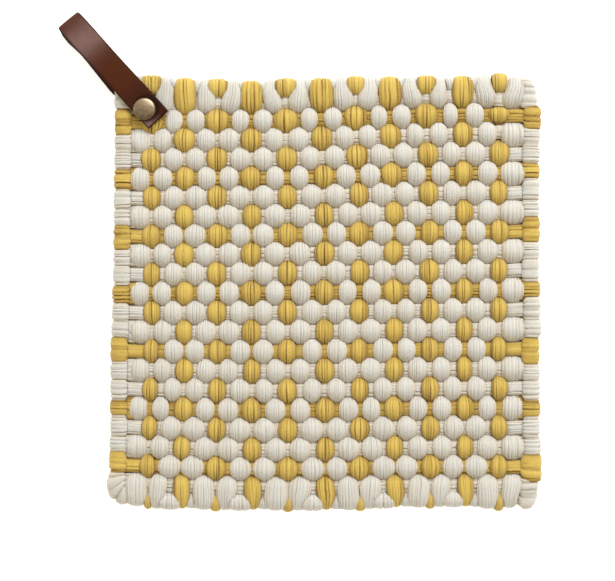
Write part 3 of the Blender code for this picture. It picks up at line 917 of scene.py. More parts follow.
@dataclass
class Warp:
    """The columns of the weave, which run up the pad and make its beads."""

    lattice: Lattice
    pattern_repeat: int = 6

    # The beads.
    half_width: float = 4.65
    lift: float = 3.4
    waist: float = 2.2
    crown: float = 0.4
    belly: float = 0.45
    stations_per_row: int = 6
    width_spread: float = 0.07
    sinking: float = 0.4
    rising_share: float = 0.2
    sway: float = 0.35
    room_power: float = 0.7
    bead_flatness: float = 0.86
    bead_reach: float = 0.646
    bead_power: float = 2.0
    low_bead_power: float = 1.75
    low_bead_rows: tuple[float, float] = (13.0, 17.0)
    outer_bead_power: float = 3.0
    tip_ridge: float = 0.6
    tip_ridge_swings: tuple[float, float] = (0.15, -0.45)
    # Painted shade towards the bead tips.
    tip_shade_depth: float = 0.35
    tip_shade_gaps: tuple[float, float] = (0.2, 0.5)
    fullness_rows: tuple[float, float] = (3, 17)
    top_rows: tuple[float, float] = (2.4, 1.4)
    bottom_reach: float = 0.6
    top_fullness: dict[int, float] = field(default_factory=lambda: {3: 0.85})
    bottom_fullness: dict[int, float] = field(default_factory=lambda: {0: 1.10, 4: 0.94})
    corner_fullness: float = 0.88

    # The turns over the top and bottom edges.
    turn_stations: int = 13
    lean_rows: float = 0.45
    lean_reach: float = 4.0
    flap_flatness: float = 0.68
    wedge_fullness: dict[int, float] = field(
        default_factory=lambda: {1: 0.98, 7: 0.80, 13: 0.87, 19: 0.70, 25: 0.88, 31: 0.76}
    )
    top_ends: dict[int, WarpEnd] = field(
        default_factory=lambda: {0: WarpEnd.SLIM, 1: WarpEnd.WEDGE, 2: WarpEnd.SLIM}
    )
    bottom_ends: dict[int, WarpEnd] = field(
        default_factory=lambda: {
            1: WarpEnd.SLIVER,
            2: WarpEnd.SLIM,
            3: WarpEnd.BULGE,
            4: WarpEnd.TAPER,
        }
    )

    def end_kind(self, column: int, edge: Edge) -> WarpEnd:
        """How a warp column ends at the top or bottom edge."""
        kinds = self.top_ends if edge is Edge.TOP else self.bottom_ends
        return kinds.get(column % self.pattern_repeat, WarpEnd.TUCKED if column % 2 else WarpEnd.LONG)

    def end_flatness(self, column: int, edge: Edge) -> float:
        """How boxy a warp column's turn is: less than 1 for the flaps that lie over their neighbours."""
        flaps = (WarpEnd.WEDGE, WarpEnd.BULGE)
        return self.flap_flatness if self.end_kind(column, edge) in flaps else 1.0

    def end_shift(self, column: int, edge: Edge) -> float:
        """How far a warp column leans sideways where it turns over an edge."""
        return (TOP_SHIFTS if edge is Edge.TOP else BOTTOM_SHIFTS).get(column, 0.0)

    def bead_half_width(self, column: int, rows: np.ndarray) -> np.ndarray:
        """The half-width that a column's beads have at their fullest.

        Args:
            column: The warp column.
            rows: Row numbers, whole or between two.

        Returns:
            The half-width of a full bead at each of those rows.
        """
        mustard = self.lattice.yarn(column) is Yarn.MUSTARD
        fullness = read_table(ROW_FULLNESS, rows, 1 if mustard else 2)
        at_head, at_foot = (float(read_table(COLUMN_FULLNESS, column, k)) for k in (1, 2))
        fullness = fullness * (at_head + (at_foot - at_head) * ramp(rows, *self.fullness_rows))
        at_top = self.top_fullness.get(column % self.pattern_repeat, 1.0)
        fullness = fullness * (1 + (at_top - 1) * ramp(rows, *self.top_rows))
        at_bottom = self.bottom_fullness.get(column % self.pattern_repeat, 1.0)
        if column == self.lattice.columns - 1:
            at_bottom = self.corner_fullness
        last_row = self.lattice.rows - 1
        near_bottom = ramp(rows, last_row - self.bottom_reach, last_row)
        fullness = fullness * (1 + (at_bottom - 1) * near_bottom)
        return self.half_width * self.lattice.room(column) ** self.room_power * fullness

    def bead_taper(self, column: int, rows: np.ndarray, gap: np.ndarray) -> np.ndarray:
        """How a bead narrows towards its tips.

        Args:
            column: The warp column.
            rows: The row number of each station.
            gap: How far each station is from the middle of its bead, in rows.

        Returns:
            The share of the full width that is left at each station.
        """
        low = ramp(rows, *self.low_bead_rows)
        power = self.bead_power + (self.low_bead_power - self.bead_power) * low
        if column in (0, self.lattice.columns - 1):
            power = self.outer_bead_power
        return (1 - (gap / self.bead_reach) ** power) ** (1 / power)

    def turn_rows(self, column: int, edge: Edge) -> np.ndarray:
        """The stations of a warp column's turn over an edge, from the hidden end inwards.

        Args:
            column: The warp column.
            edge: The top or the bottom edge.

        Returns:
            Rows of inset, height on the face, share of full width, and outer and inner thickness.
        """
        kind = self.end_kind(column, edge)
        table = {
            WarpEnd.LONG: LONG_TURN,
            WarpEnd.SLIM: SLIM_TURN,
            WarpEnd.TAPER: TAPER_TURN,
            WarpEnd.WEDGE: WEDGE_TURN,
            WarpEnd.BULGE: BULGE_TURN,
            WarpEnd.SLIVER: SLIVER_TURN,
            WarpEnd.TUCKED: SHORT_TURN,
        }[kind]
        rows = curve_rows(table, self.turn_stations)
        if kind is WarpEnd.WEDGE:
            rows[:, 2] *= self.wedge_fullness[column]
        return rows

    def bead_places(self, column: int, phases: np.ndarray) -> np.ndarray:
        """Where a column's stations lie, in rows, when some of its beads are short.

        Args:
            column: The warp column.
            phases: The stations, evenly spaced, with a whole number in the middle of each bead.

        Returns:
            The row number of each station.
        """
        rows = phases.copy()
        for _, row, share in (short for short in SHORT_BEADS if short[0] == column):
            away = phases - row
            bent = np.interp(np.abs(away), (0, 0.5, 1), (0, share / 2, 1))
            rows = np.where(np.abs(away) < 1, row + np.sign(away) * bent, rows)
        return rows

    def path(self, column: int, rng: np.random.Generator) -> BundlePath:
        """The path of one warp column, from its end at the top to its end at the bottom.

        Args:
            column: The warp column.
            rng: The column's own random numbers.

        Returns:
            The bundle's stations.
        """
        last_row = self.lattice.rows - 1
        bead_rows = np.arange(self.lattice.rows)
        widths = 1 + self.width_spread * rng.uniform(-1, 1, self.lattice.rows)
        lifts = self.sinking * rng.uniform(-1, self.rising_share, self.lattice.rows)
        sways = self.sway * rng.uniform(-1, 1, self.lattice.rows)
        phases = np.linspace(0, last_row, last_row * self.stations_per_row + 1)
        rows = self.bead_places(column, phases)
        swing = np.cos(math.pi * (phases - column % 2))
        x, y = self.lattice.point(np.full_like(rows, column), rows)
        x = x + np.interp(rows, bead_rows, sways)
        x = x + self.end_shift(column, Edge.TOP) / 2 * ramp(rows, self.lean_rows, 0)
        leaning = ramp(rows, last_row - self.lean_rows, last_row)
        x = x + self.end_shift(column, Edge.BOTTOM) / 2 * leaning
        z = MIDDLE + (self.lift + np.interp(rows, bead_rows, lifts)) * swing
        gap = np.abs(phases - np.round(phases))
        full = self.bead_half_width(column, rows) * np.interp(rows, bead_rows, widths)
        half_width = full * self.bead_taper(column, rows, gap)
        face = np.maximum(swing, 0)
        back = np.maximum(-swing, 0)
        upper = self.waist + self.crown * face - self.belly * back
        lower = self.waist + self.crown * back - self.belly * face
        middle = np.stack([x, y, z, half_width, upper, lower], axis=1)
        top = self.turn(column, Edge.TOP, full[0])
        bottom = self.turn(column, Edge.BOTTOM, full[-1])[::-1]
        stations = np.concatenate([top, middle, bottom])
        count = len(stations)
        swings = np.concatenate([np.full(len(top), swing[0]), swing, np.full(len(bottom), swing[-1])])
        ridges = [self.tip_ridge * ramp(sign * swings, *self.tip_ridge_swings) for sign in (1, -1)]
        flatness = np.full(count, self.bead_flatness)
        flatness[: len(top)] = self.end_flatness(column, Edge.TOP)
        flatness[count - len(bottom) :] = self.end_flatness(column, Edge.BOTTOM)
        # Painted shade towards the bead tips.
        tip_shade = self.tip_shade_depth * ramp(gap, *self.tip_shade_gaps)
        return BundlePath(
            centre=stations[:, :3],
            across=np.tile([1.0, 0.0, 0.0], (count, 1)),
            half_width=stations[:, 3],
            upper=stations[:, 4],
            lower=stations[:, 5],
            flatness=flatness,
            cleft=np.zeros(count),
            upper_ridge=ridges[0],
            lower_ridge=ridges[1],
            painted_dip=np.concatenate([np.zeros(len(top)), tip_shade, np.zeros(len(bottom))]),
        )

    def turn(self, column: int, edge: Edge, full: float) -> np.ndarray:
        """The stations of a column's turn in the pad's frame.

        Args:
            column: The warp column.
            edge: The top or the bottom edge.
            full: The half-width of the column's last bead.

        Returns:
            Rows of x, y, z, half-width, and the half-thickness above and below the path.
        """
        at_top = edge is Edge.TOP
        row = 0 if at_top else self.lattice.rows - 1
        outward = 1 if at_top else -1
        inset, height, share, outer, inner = self.turn_rows(column, edge).T
        x, y = (float(value) for value in self.lattice.point(column, row))
        reach = float(read_table(TOP_EDGE if at_top else BOTTOM_EDGE, x)) + outward * EDGE_REACH
        moved_y = reach - outward * inset
        beyond = ramp((moved_y - y) * outward, -self.lean_reach, self.lean_reach)
        moved_x = x + self.end_shift(column, edge) * beyond
        on_face = column % 2 == 0
        z = height if on_face else THICKNESS - height
        upper, lower = (outer, inner) if on_face else (inner, outer)
        return np.stack([moved_x, moved_y, z, full * share, upper, lower], axis=1)

    def skin(self, yarn: Yarn) -> StrandSkin:
        """The strands of a warp bundle.

        Args:
            yarn: Its cotton.

        Returns:
            Sixteen shallow strands for the natural cotton, or fourteen deeper ones for the mustard.
        """
        if yarn is Yarn.MUSTARD:
            return StrandSkin(
                strands=14,
                groove=0.36,
                deep_groove=0.66,
                uneven=0.30,
                full_width=self.half_width,
            )
        return StrandSkin(
            strands=16,
            groove=0.28,
            deep_groove=0.42,
            uneven=0.30,
            full_width=self.half_width,
            faintest=0.55,
            strongest=1.55,
        )

    def bundle(self, column: int) -> dict[str, np.ndarray]:
        """Wraps one warp column in its strands.

        Args:
            column: The warp column.

        Returns:
            What StrandSkin.skin made.
        """
        rng = np.random.default_rng((SEED, column))
        path = self.path(column, rng)
        return self.skin(self.lattice.yarn(column)).skin(path, rng)


@dataclass
class Weft:
    """The rows of the weave, which show between the beads and roll over the pad's sides."""

    lattice: Lattice
    first_seed: int = 100

    # The windows between the beads, and the necks under the outer columns.
    half_height: float = 3.5
    drop: float = 0.2
    flatness: float = 0.80
    half_thickness: float = 2.3
    swing: float = 1.3
    steps: int = 2
    # Painted shade over the windows between the beads.
    window_shade: float = 0.25
    neck_columns: tuple[float, float] = (0.9, 0.4)
    neck_half_height: float = 3.3
    hidden_neck: float = 5.4
    neck_flatness: float = 0.76
    neck_lift: float = 0.6

    # The rolls over the sides.
    side_stations: int = 24
    roll_flatness: float = 0.62
    reach_spread: float = 0.4
    left_depth: float = 0.93
    right_depths: dict[int, float] = field(default_factory=lambda: {19: 1.25, 20: 1.1})
    tuck_half_height: float = 5.5
    tuck_insets: tuple[float, float] = (7.5, 9.5)
    tuck_heights: tuple[float, float] = (6.7, 6.5)
    tall_cleft: float = 0.5
    tall_rolls: tuple[float, float] = (4.9, 5.8)
    corner_stuffing: float = 2.3
    stuffed_insets: tuple[float, float] = (8.0, 6.0)
    fan_inset: float = 8.0

    def neck_half(self, row: int) -> float:
        """A row's half-height under the outer columns: full where their beads hide it."""
        return self.neck_half_height if row % 2 else self.hidden_neck

    def side_roll(self, row: int, edge: Edge) -> tuple[float, float, float]:
        """Where a row's roll over the side lies.

        Args:
            row: The weft row.
            edge: The left or the right edge.

        Returns:
            The y of its middle, its half-height, and the x of the pad's outline there.
        """
        _, left_y, left_half, right_y, right_half = SIDE_ROLLS[row]
        at_left = edge is Edge.LEFT
        y, half = (left_y, left_half) if at_left else (right_y, right_half)
        return y, half, float(read_table(LEFT_EDGE if at_left else RIGHT_EDGE, y))

    def path(self, row: int, rng: np.random.Generator) -> BundlePath:
        """The path of one weft row, from its turn at the left side to its turn at the right.

        Args:
            row: The weft row.
            rng: The row's own random numbers.

        Returns:
            The bundle's stations.
        """
        last_column = self.lattice.columns - 1
        columns = np.linspace(0, last_column, last_column * self.steps + 1)
        swing = -np.cos(math.pi * (columns - row % 2))
        x, y = self.lattice.point(columns, np.full_like(columns, row))
        y = y - self.drop
        neck = ramp(np.minimum(columns, last_column - columns), *self.neck_columns)
        z = MIDDLE + self.swing * swing + self.neck_lift * neck * np.maximum(swing, 0)
        half_height = self.half_height + (self.neck_half(row) - self.half_height) * neck
        for _, column, tall, shift in (window for window in TALL_WINDOWS if window[0] == row):
            near = ramp(np.abs(columns - column), *self.neck_columns)
            half_height = half_height + (tall - half_height) * near
            y = y + shift * near
        thick = np.full_like(columns, self.half_thickness)
        flatness = self.flatness + (self.neck_flatness - self.flatness) * neck
        plain = np.zeros_like(columns)
        middle = np.stack([x, y, z, half_height, thick, thick, flatness, plain], axis=1)
        left = self.turn(row, Edge.LEFT, rng)
        right = self.turn(row, Edge.RIGHT, rng)[::-1]
        stations = np.concatenate([left, middle, right])
        # Painted shade over the windows, none under the outer columns.
        painted_dip = self.window_shade * (1 - neck)
        return BundlePath(
            centre=stations[:, :3],
            across=np.tile([0.0, 1.0, 0.0], (len(stations), 1)),
            half_width=stations[:, 3],
            upper=stations[:, 4],
            lower=stations[:, 5],
            flatness=stations[:, 6],
            cleft=stations[:, 7],
            upper_ridge=np.zeros(len(stations)),
            lower_ridge=np.zeros(len(stations)),
            painted_dip=np.concatenate([np.zeros(len(left)), painted_dip, np.zeros(len(right))]),
        )

    def turn(self, row: int, edge: Edge, rng: np.random.Generator) -> np.ndarray:
        """The stations of a row's turn round the side, in the pad's frame.

        Args:
            row: The weft row.
            edge: The left or the right edge.
            rng: The row's own random numbers.

        Returns:
            Rows of x, y, z, half-height, half-thickness above and below, flatness and cleft.
        """
        at_left = edge is Edge.LEFT
        outward = -1 if at_left else 1
        column = 0 if at_left else self.lattice.columns - 1
        inset, z, height, outer, inner = curve_rows(SIDE_TURN, self.side_stations).T
        roll = np.clip(height, 0, 1)
        roll_y, roll_half, outline = self.side_roll(row, edge)
        reach = outline + outward * EDGE_REACH
        reach -= outward * rng.uniform(0.0, self.reach_spread)
        depth = self.left_depth if at_left else self.right_depths.get(row, 1.0)
        x = reach - outward * inset * depth
        inner_y = float(self.lattice.point(column, row)[1])
        y = inner_y + (roll_y - inner_y) * roll
        half = self.neck_half(row) + (roll_half - self.neck_half(row)) * roll
        tucked = ramp(inset, *self.tuck_insets) * ramp(z, *self.tuck_heights)
        half += (np.minimum(half, self.tuck_half_height) - half) * tucked
        flatness = self.neck_flatness + (self.roll_flatness - self.neck_flatness) * roll
        cleft = self.tall_cleft * roll * float(ramp(roll_half, *self.tall_rolls))
        if row in (0, self.lattice.rows - 1):
            inner = inner * (1 + (self.corner_stuffing - 1) * ramp(inset, *self.stuffed_insets))
        return np.stack([x, y, z, half, outer, inner, flatness, cleft], axis=1)

    def fan_out(self, points: np.ndarray, row: int) -> np.ndarray:
        """Turns an outermost row's strands outwards round the pad's corners, or draws them in.

        Args:
            points: The points of a weft bundle.
            row: Its row.

        Returns:
            The points, moved only beyond the outer columns.
        """
        moved = points.copy()
        outward = 1 if row == 0 else -1
        for _, side, degrees, longer, shorter in (fan for fan in CORNER_FANS if fan[0] == row):
            roll_y, half, outline = self.side_roll(row, Edge.LEFT if side < 0 else Edge.RIGHT)
            inner_x = outline - side * self.fan_inset
            beyond = np.maximum((points[..., 0] - inner_x) * side, 0)
            share = ramp((points[..., 1] - roll_y) * outward, -half, half)
            angle = math.radians(degrees) * share
            beyond_now = beyond * (1 + longer * np.sin(math.pi * share) - shorter * share**3)
            moved[..., 0] += side * (beyond_now * np.cos(angle) - beyond)
            moved[..., 1] += outward * beyond_now * np.sin(angle)
        return moved

    def skin(self) -> StrandSkin:
        """The strands of a weft bundle.

        Returns:
            Eleven uneven strands, for either cotton.
        """
        return StrandSkin(
            strands=11,
            groove=0.40,
            deep_groove=0.40,
            uneven=0.50,
            full_width=self.half_height,
            shares=(0.0, 0.2, 0.5, 0.8),
        )

    def bundle(self, row: int) -> dict[str, np.ndarray]:
        """Wraps one weft row in its strands.

        Args:
            row: The weft row.

        Returns:
            What StrandSkin.skin made, fanned out at the corners.
        """
        rng = np.random.default_rng((SEED, self.first_seed + row))
        path = self.path(row, rng)
        bundle = self.skin().skin(path, rng)
        bundle["points"] = self.fan_out(bundle["points"], row)
        return bundle


@dataclass
class Weave:
    """The woven pad: all its warp and weft bundles, joined into pieces."""

    lattice: Lattice
    press: Press
    warp_pieces: dict[Yarn, int] = field(default_factory=lambda: {Yarn.NATURAL: 3, Yarn.MUSTARD: 2})

    def piece(self, name: str, bundles: list[dict[str, np.ndarray]]) -> bpy.types.Object:
        """Joins bundles into one piece, pressed thin between the strap's ends.

        Args:
            name: The piece's name.
            bundles: Its bundles, all of one cotton.

        Returns:
            The piece.
        """
        mesh = BundleMesh()
        for bundle in bundles:
            bundle["points"] = self.press.squeeze(bundle["points"])
            mesh.add(bundle)
        return mesh.build(name)

    def build(self, finishes: dict[Yarn, "CottonFinish"]) -> list[bpy.types.Object]:
        """Makes and dresses all the pad's pieces.

        Args:
            finishes: The finish of each cotton.

        Returns:
            The pieces.
        """
        warp = Warp(self.lattice)
        weft = Weft(self.lattice)
        pieces = []
        for yarn in Yarn:
            material = finishes[yarn].material(yarn.value)
            columns = [c for c in range(self.lattice.columns) if self.lattice.yarn(c) is yarn]
            rows = [r for r in range(self.lattice.rows) if self.lattice.yarn(r) is yarn]
            cotton = yarn.name.lower()
            made = [
                self.piece(f"warp_{cotton}_{k + 1}", [warp.bundle(int(c)) for c in group])
                for k, group in enumerate(np.array_split(columns, self.warp_pieces[yarn]))
            ]
            made.append(self.piece(f"weft_{cotton}", [weft.bundle(r) for r in rows]))
            for piece in made:
                piece.data.materials.append(material)
            pieces += made
        for piece in pieces:
            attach(piece, BODY)
            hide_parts(PAD_NODE)
        return pieces


def feed(tree: Tree, socket: Socket, value: Socket | Colour | float) -> None:
    """Gives a node's socket its value.

    Args:
        tree: The tree that the node is in.
        socket: The socket to feed.
        value: Another socket to join it to, linear red, green and blue, or a number.
    """
    if isinstance(value, Socket):
        tree.links.new(value, socket)
    elif isinstance(value, tuple):
        socket.default_value = (*value, 1.0)
    else:
        socket.default_value = value


def math_node(tree: Tree, operation: str, first: Socket | float, second: Socket | float) -> Socket:
    """Adds a Math node.

    Args:
        tree: The tree that it goes in.
        operation: Blender's name of the operation.
        first: A socket or a number.
        second: A socket or a number.

    Returns:
        The node's output.
    """
    node = tree.nodes.new("ShaderNodeMath")
    node.operation = operation
    feed(tree, node.inputs[0], first)
    feed(tree, node.inputs[1], second)
    return node.outputs[0]


def mix_colours(tree: Tree, factor: Socket, first: Socket | Colour, second: Socket | Colour) -> Socket:
    """Adds a Mix node for colours.

    Args:
        tree: The tree that it goes in.
        factor: How much of the second colour shows.
        first: The colour at 0.
        second: The colour at 1.

    Returns:
        The mixed colour's socket.
    """
    node = tree.nodes.new("ShaderNodeMix")
    node.data_type = "RGBA"
    feed(tree, node.inputs["Factor"], factor)
    feed(tree, node.inputs[MIX_FIRST], first)
    feed(tree, node.inputs[MIX_SECOND], second)
    return node.outputs[MIX_RESULT]


def noise(tree: Tree, place: Socket, scale: Socket | float, detail: float) -> Socket:
    """Adds a Noise Texture node.

    Args:
        tree: The tree that it goes in.
        place: Where the noise is read.
        scale: Its scale, a socket or a number.
        detail: Its octaves.

    Returns:
        The noise's value, from 0 to 1.
    """
    node = tree.nodes.new("ShaderNodeTexNoise")
    node.inputs["Detail"].default_value = detail
    feed(tree, node.inputs["Vector"], place)
    feed(tree, node.inputs["Scale"], scale)
    return node.outputs["Fac"]


def attribute(tree: Tree, name: str, output: str = "Fac") -> Socket:
    """Adds a node that reads a mesh attribute.

    Args:
        tree: The tree that it goes in.
        name: The attribute's name.
        output: Which of the node's outputs to use.

    Returns:
        That output.
    """
    node = tree.nodes.new("ShaderNodeAttribute")
    node.attribute_type = "GEOMETRY"
    node.attribute_name = name
    return node.outputs[output]


def new_group(name: str, inputs: dict[str, str], outputs: tuple[str, ...]) -> Tree:
    """Starts a shader node group.

    Args:
        name: The group's name.
        inputs: The kind of each input, by its name.
        outputs: The names of its outputs, which are all numbers.

    Returns:
        The group, with its input and output nodes in it.
    """
    group = bpy.data.node_groups.new(name, "ShaderNodeTree")
    for socket, kind in inputs.items():
        group.interface.new_socket(socket, in_out="INPUT", socket_type=kind)
    for socket in outputs:
        group.interface.new_socket(socket, in_out="OUTPUT", socket_type=NUMBER)
    group.nodes.new("NodeGroupInput")
    group.nodes.new("NodeGroupOutput")
    return group


@dataclass(frozen=True)
class StrandFibre:
    """The group that both cottons share: soft fibres along each strand, and the painted shade in its grooves
    and hollows.
    """

    name: str = "fibre_and_painted_shade"
    fine_scale: float = 2600.0
    fine_detail: float = 3.0
    broad_scale: float = 420.0
    broad_detail: float = 2.0
    cross_scale: float = 1150.0
    cross_detail: float = 2.0
    cross_stretch: float = 11.0
    mean_tone: float = 2.0

    def build(self) -> Tree:
        """Builds the group.

        Returns:
            A group that turns a place on the fibres into a shade, from 0 in a groove to 1 on a crown, which
            is painted shade in the grooves plus the random tone, how much of the painted hollow shade shows,
            and a height.
        """
        numbers = ("Groove", "Hollow", "Tone", "Groove Shade Strength", "Hollow Shade Strength", "Tone Spread")
        inputs = {"Place": VECTOR, **dict.fromkeys(numbers, NUMBER)}
        group = new_group(self.name, inputs, ("Shade", "Hollow Shade Amount", "Height"))
        source = group.nodes["Group Input"].outputs
        target = group.nodes["Group Output"].inputs
        fine = noise(group, source["Place"], self.fine_scale, self.fine_detail)
        broad = noise(group, source["Place"], self.broad_scale, self.broad_detail)
        squeeze = group.nodes.new("ShaderNodeVectorMath")
        squeeze.operation = "MULTIPLY"
        squeeze.inputs[1].default_value = (1.0, 1.0, self.cross_stretch)
        feed(group, squeeze.inputs[0], source["Place"])
        cross = noise(group, squeeze.outputs["Vector"], self.cross_scale, self.cross_detail)
        # Painted shade in the grooves, with the random tone added after it.
        shade = math_node(group, "MULTIPLY", source["Groove"], source["Groove Shade Strength"])
        shade = math_node(group, "SUBTRACT", 1.0, shade)
        tone = source["Tone"]
        for layer in (broad, fine, cross):
            tone = math_node(group, "ADD", tone, layer)
        tone = math_node(group, "SUBTRACT", tone, self.mean_tone)
        tone = math_node(group, "MULTIPLY", tone, source["Tone Spread"])
        # Painted shade in the hollows.
        hollow_shade_amount = math_node(group, "MULTIPLY", source["Hollow"], source["Hollow Shade Strength"])
        feed(group, target["Shade"], math_node(group, "ADD", shade, tone))
        feed(group, target["Hollow Shade Amount"], hollow_shade_amount)
        feed(group, target["Height"], math_node(group, "ADD", fine, cross))
        return group


@dataclass(frozen=True)
class WornGrain:
    """The group that leather and brass share: a fine grain and broad worn patches."""

    name: str = "worn_grain"
    grain_detail: float = 4.0
    patch_detail: float = 3.0

    def build(self) -> Tree:
        """Builds the group.

        Returns:
            A group that turns a place into a grain height and a mask of worn patches.
        """
        inputs = {"Place": VECTOR, "Grain Scale": NUMBER, "Patch Scale": NUMBER}
        group = new_group(self.name, inputs, ("Grain", "Patches"))
        source = group.nodes["Group Input"].outputs
        target = group.nodes["Group Output"].inputs
        grain = noise(group, source["Place"], source["Grain Scale"], self.grain_detail)
        patches = noise(group, source["Place"], source["Patch Scale"], self.patch_detail)
        feed(group, target["Grain"], grain)
        feed(group, target["Patches"], patches)
        return group


def place_group(
    tree: Tree, maker: StrandFibre | WornGrain, values: dict[str, Socket | float]
) -> bpy.types.bpy_prop_collection:
    """Puts a shared group in a material. The group itself is built once.

    Args:
        tree: The material's tree.
        maker: What builds the group.
        values: What feeds its inputs.

    Returns:
        The group node's outputs.
    """
    node = tree.nodes.new("ShaderNodeGroup")
    node.node_tree = bpy.data.node_groups.get(maker.name) or maker.build()
    for socket, value in values.items():
        feed(tree, node.inputs[socket], value)
    return node.outputs


def start_material(
    name: str, values: dict[str, Colour | float]
) -> tuple[bpy.types.Material, bpy.types.Node]:
    """Makes a material.

    Args:
        name: The material's name.
        values: What its Principled BSDF has all over the surface.

    Returns:
        The material and its Principled BSDF.
    """
    material = bpy.data.materials.new(name)
    material.use_nodes = True
    shader = material.node_tree.nodes["Principled BSDF"]
    for socket, value in values.items():
        feed(material.node_tree, shader.inputs[socket], value)
    return material, shader


def add_bump(tree: Tree, shader: bpy.types.Node, height: Socket, depth: float) -> None:
    """Gives a shader fine relief.

    Args:
        tree: The material's tree.
        shader: The shader that the relief goes to.
        height: The relief's height, from 0 to 1.
        depth: The height of 1, in millimetres.
    """
    bump = tree.nodes.new("ShaderNodeBump")
    bump.inputs["Distance"].default_value = depth * MM
    feed(tree, bump.inputs["Height"], height)
    feed(tree, shader.inputs["Normal"], bump.outputs["Normal"])


@dataclass(frozen=True)
class CottonFinish:
    """Soft matte cotton strands, with painted shade in their grooves and in the hollows."""

    lit: Colour
    # The grooves' and the hollows' colours are painted shade.
    grooves: Colour
    hollow_shade_colour: Colour
    groove_shade_strength: float
    hollow_shade_strength: float
    tone_spread: float
    softness: float
    soft_reach: float
    soft_radius: Colour = (1.0, 0.85, 0.6)
    roughness: float = 0.95
    specular: float = 0.2
    sheen: float = 0.15
    sheen_roughness: float = 0.6
    fibre_depth: float = 0.2

    def material(self, name: str) -> bpy.types.Material:
        """Makes the material.

        Args:
            name: The material's name.

        Returns:
            The material.
        """
        plain = {
            "Roughness": self.roughness,
            "Specular IOR Level": self.specular,
            "Sheen Weight": self.sheen,
            "Sheen Roughness": self.sheen_roughness,
            "Subsurface Weight": self.softness,
            "Subsurface Scale": self.soft_reach * MM,
        }
        material, shader = start_material(name, plain)
        shader.inputs["Subsurface Radius"].default_value = self.soft_radius
        tree = material.node_tree
        values = {
            "Place": attribute(tree, "fibre", "Vector"),
            "Groove": attribute(tree, "groove"),
            "Hollow": attribute(tree, "hollow"),
            "Tone": attribute(tree, "tone"),
            "Groove Shade Strength": self.groove_shade_strength,
            "Hollow Shade Strength": self.hollow_shade_strength,
            "Tone Spread": self.tone_spread,
        }
        strand = place_group(tree, StrandFibre(), values)
        # Painted shade: the grooves' colour shows in the grooves between strands, and the hollows' colour on
        # the bundles' flanks, at the bead tips and over the windows.
        colour = mix_colours(tree, strand["Shade"], self.grooves, self.lit)
        colour = mix_colours(tree, strand["Hollow Shade Amount"], colour, self.hollow_shade_colour)
        feed(tree, shader.inputs["Base Color"], colour)
        add_bump(tree, shader, strand["Height"], self.fibre_depth)
        return material


@dataclass(frozen=True)
class LeatherFinish:
    """Smooth waxed brown leather with darker edges, painted shade, and a painted sheen that the grain and
    faint patches break up.
    """

    face: Colour = (0.065, 0.018, 0.0074)
    # The colour of the painted sheen.
    painted_sheen: Colour = (0.178, 0.106, 0.095)
    # The colour of the darker rims and of the painted shade.
    edge: Colour = (0.016, 0.006, 0.004)
    roughness: float = 0.42
    gloss_spread: float = 0.2
    specular: float = 0.04
    grain_scale: float = 1700.0
    patch_scale: float = 90.0
    grain_depth: float = 0.06

    def material(self, name: str) -> bpy.types.Material:
        """Makes the material.

        Args:
            name: The material's name.

        Returns:
            The material.
        """
        material, shader = start_material(name, {"Specular IOR Level": self.specular})
        tree = material.node_tree
        values = {
            "Place": attribute(tree, "hide", "Vector"),
            "Grain Scale": self.grain_scale,
            "Patch Scale": self.patch_scale,
        }
        hide = place_group(tree, WornGrain(), values)
        # Painted sheen: the sheen mask, broken up by the grain and the patches, lightens the face towards the
        # sheen's colour.
        broken_sheen = math_node(tree, "ADD", hide["Patches"], hide["Grain"])
        broken_sheen = math_node(tree, "MULTIPLY", broken_sheen, attribute(tree, "sheen_and_wear"))
        colour = mix_colours(tree, broken_sheen, self.face, self.painted_sheen)
        # The rim mask darkens the rims and also carries the painted shade.
        colour = mix_colours(tree, attribute(tree, "rim"), colour, self.edge)
        feed(tree, shader.inputs["Base Color"], colour)
        gloss = math_node(tree, "MULTIPLY", hide["Patches"], self.gloss_spread)
        gloss = math_node(tree, "ADD", gloss, self.roughness - self.gloss_spread / 2)
        feed(tree, shader.inputs["Roughness"], gloss)
        add_bump(tree, shader, hide["Grain"], self.grain_depth)
        return material


@dataclass(frozen=True)
class BrassFinish:
    """Aged brass: a brushed, slightly pitted dome, paler in worn patches and where a highlight is painted."""

    # The paler brass of the worn patches and of the painted highlight.
    wear_and_highlight: Colour = (0.36, 0.275, 0.175)
    dull: Colour = (0.145, 0.105, 0.062)
    roughness: float = 0.405
    gloss_spread: float = 0.25
    grain_scale: float = 3800.0
    patch_scale: float = 700.0
    wear_start: float = 0.65
    wear_strength: float = 1.3
    pit_depth: float = 0.05

    def material(self, name: str) -> bpy.types.Material:
        """Makes the material.

        Args:
            name: The material's name.

        Returns:
            The material.
        """
        material, shader = start_material(name, {"Metallic": 1.0})
        tree = material.node_tree
        values = {
            "Place": attribute(tree, "metal", "Vector"),
            "Grain Scale": self.grain_scale,
            "Patch Scale": self.patch_scale,
        }
        metal = place_group(tree, WornGrain(), values)
        sheen_and_wear = math_node(tree, "ADD", metal["Patches"], metal["Grain"])
        sheen_and_wear = math_node(tree, "SUBTRACT", sheen_and_wear, self.wear_start)
        sheen_and_wear = math_node(tree, "MULTIPLY", sheen_and_wear, self.wear_strength)
        # Adds the painted highlight and the painted light on the dome.
        sheen_and_wear = math_node(tree, "ADD", sheen_and_wear, attribute(tree, "wear_and_highlight"))
        feed(tree, shader.inputs["Base Color"], mix_colours(tree, sheen_and_wear, self.dull, self.wear_and_highlight))
        gloss = math_node(tree, "MULTIPLY", metal["Grain"], self.gloss_spread)
        gloss = math_node(tree, "ADD", gloss, self.roughness - self.gloss_spread / 2)
        feed(tree, shader.inputs["Roughness"], gloss)
        add_bump(tree, shader, metal["Grain"], self.pit_depth)
        return material


